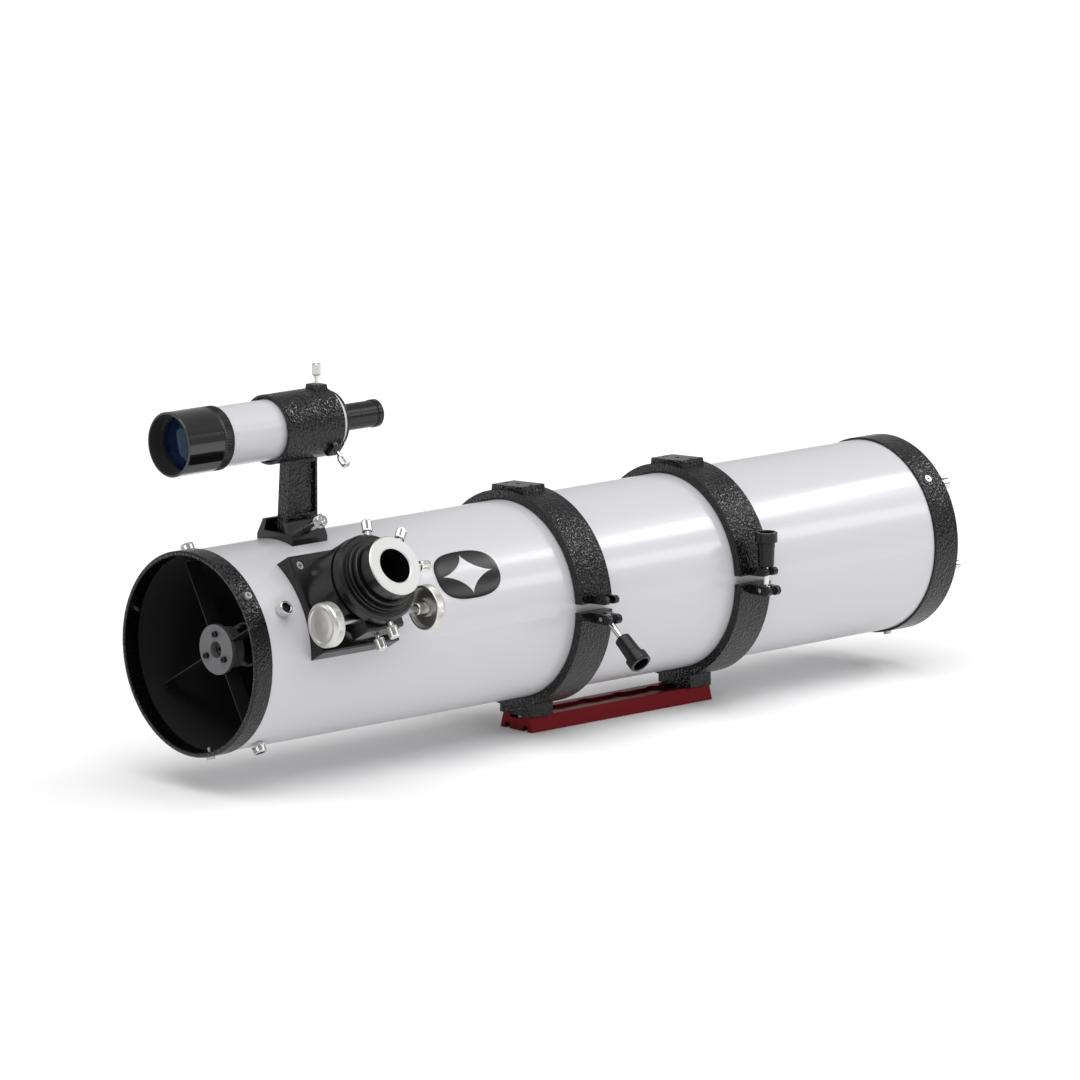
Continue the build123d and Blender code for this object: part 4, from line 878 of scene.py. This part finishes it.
def badge_layer(name, outline, low, high, slot):
    """Thin plate bent to the tube, under an outline given as (along, around) in mm.

    Rows run from the plate's middle out over its face, down its rounded edge and back
    beneath it to the middle again.
    """
    rows = 14
    share = np.concatenate([np.linspace(0, 1, rows), np.linspace(1, 0, rows)])[:, None]
    face = np.append(np.full(rows - 1, high), high - BADGE_ROUNDING)
    height = np.append(face, np.full(rows, low))[:, None]
    grid = on_tube(share * outline[:, 0], share * outline[:, 1], height)
    skin(name, grid, "optical_tube", slot)


def badge():
    """Plain badge: white-edged black oval plate with a white four-point star.

    The oval is |u/a|^p + |v/b|^p = 1 and the star is the astroid (a cos^3 t, b sin^3 t).
    """
    t = np.linspace(0, 2 * np.pi, 160, endpoint=False)
    power = 2 / BADGE_POWER
    wide = np.sign(np.cos(t)) * np.abs(np.cos(t)) ** power
    tall = np.sign(np.sin(t)) * np.abs(np.sin(t)) ** power
    oval = np.stack([wide * BADGE_HALF_LENGTH, tall * BADGE_HALF_HEIGHT], 1)
    star = np.stack([STAR_HALF_LENGTH * np.cos(t) ** 3, STAR_HALF_HEIGHT * np.sin(t) ** 3], 1)
    gap = BADGE_GAP
    step = BADGE_THICKNESS / 2
    badge_layer("badge_edge", oval * BADGE_EDGE_GROWTH, gap, step, "gloss_white_enamel")
    badge_layer("badge_plate", oval, step + gap, BADGE_THICKNESS + gap, "black_plastic")
    top = BADGE_THICKNESS + 2 * gap
    badge_layer("badge_star", star, top, top + step, "gloss_white_enamel")


badge()

# ---- Collimation springs --------------------------------------------------

SPRING_WIRE = 0.7
SPRING_TURNS = 5.5
SPRING_RADIUS = 4.75


def collimation_springs():
    """Three coil springs of round wire between the mirror's plate and its cell.

    centre(s) = (R cos 2 pi n s, R sin 2 pi n s) round each bolt, rising evenly with s. A
    circle of the wire's radius is carried along it, in the plane through the bolt's axis.
    """
    low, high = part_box("collimation_springs")
    start = low.y / MM + SPRING_WIRE
    end = high.y / MM - SPRING_WIRE
    s = np.linspace(0, 1, 240)[:, None]
    around = np.linspace(0, 2 * np.pi, 10, endpoint=False)[None, :]
    turn = 2 * np.pi * SPRING_TURNS * s
    spread = SPRING_RADIUS + SPRING_WIRE * np.cos(around)
    for number in (1, 2, 3):
        bolt = JOINTS[f"collimation_{number}_turn"]["pos_m"]
        x = bolt[0] / MM + spread * np.cos(turn)
        z = bolt[2] / MM + spread * np.sin(turn)
        y = start + (end - start) * s + SPRING_WIRE * np.sin(around)
        grid = np.stack([x, y, z], -1) * MM
        # the wire's two ends close on their own middles
        first = np.repeat(grid[:1].mean(1, keepdims=True), grid.shape[1], 1)
        last = np.repeat(grid[-1:].mean(1, keepdims=True), grid.shape[1], 1)
        coil_grid = np.concatenate([first, grid, last])
        piece = skin(f"collimation_spring_{number}", coil_grid, "primary", "steel", crease=60.0)
        if number == 1:
            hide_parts("collimation_springs")


collimation_springs()

# ---- Floor ----------------------------------------------------------------

FLOOR_HALF = 30.0
FLOOR_GAP = 0.2
floor_mesh = bpy.data.meshes.new("studio_floor")
corners = [(FLOOR_HALF * u, FLOOR_HALF * v, 0) for u, v in ((-1, -1), (1, -1), (1, 1), (-1, 1))]
floor_mesh.from_pydata(corners, [], [(0, 1, 2, 3)])
floor = bpy.data.objects.new("studio_floor", floor_mesh)
floor.location.z = cad_box[0][2] - FLOOR_GAP * MM
bpy.context.scene.collection.objects.link(floor)
floor_material = finish(
    "matt_white_floor",
    {
        "Base Color": paint("#F6F6F6"),
        "Roughness": 0.9,
        "Specular IOR Level": 0.0,
        "Emission Color": paint("#FFFFFF"),
        "Emission Strength": 0.05,
    },
)[0]
floor_mesh.materials.append(floor_material)
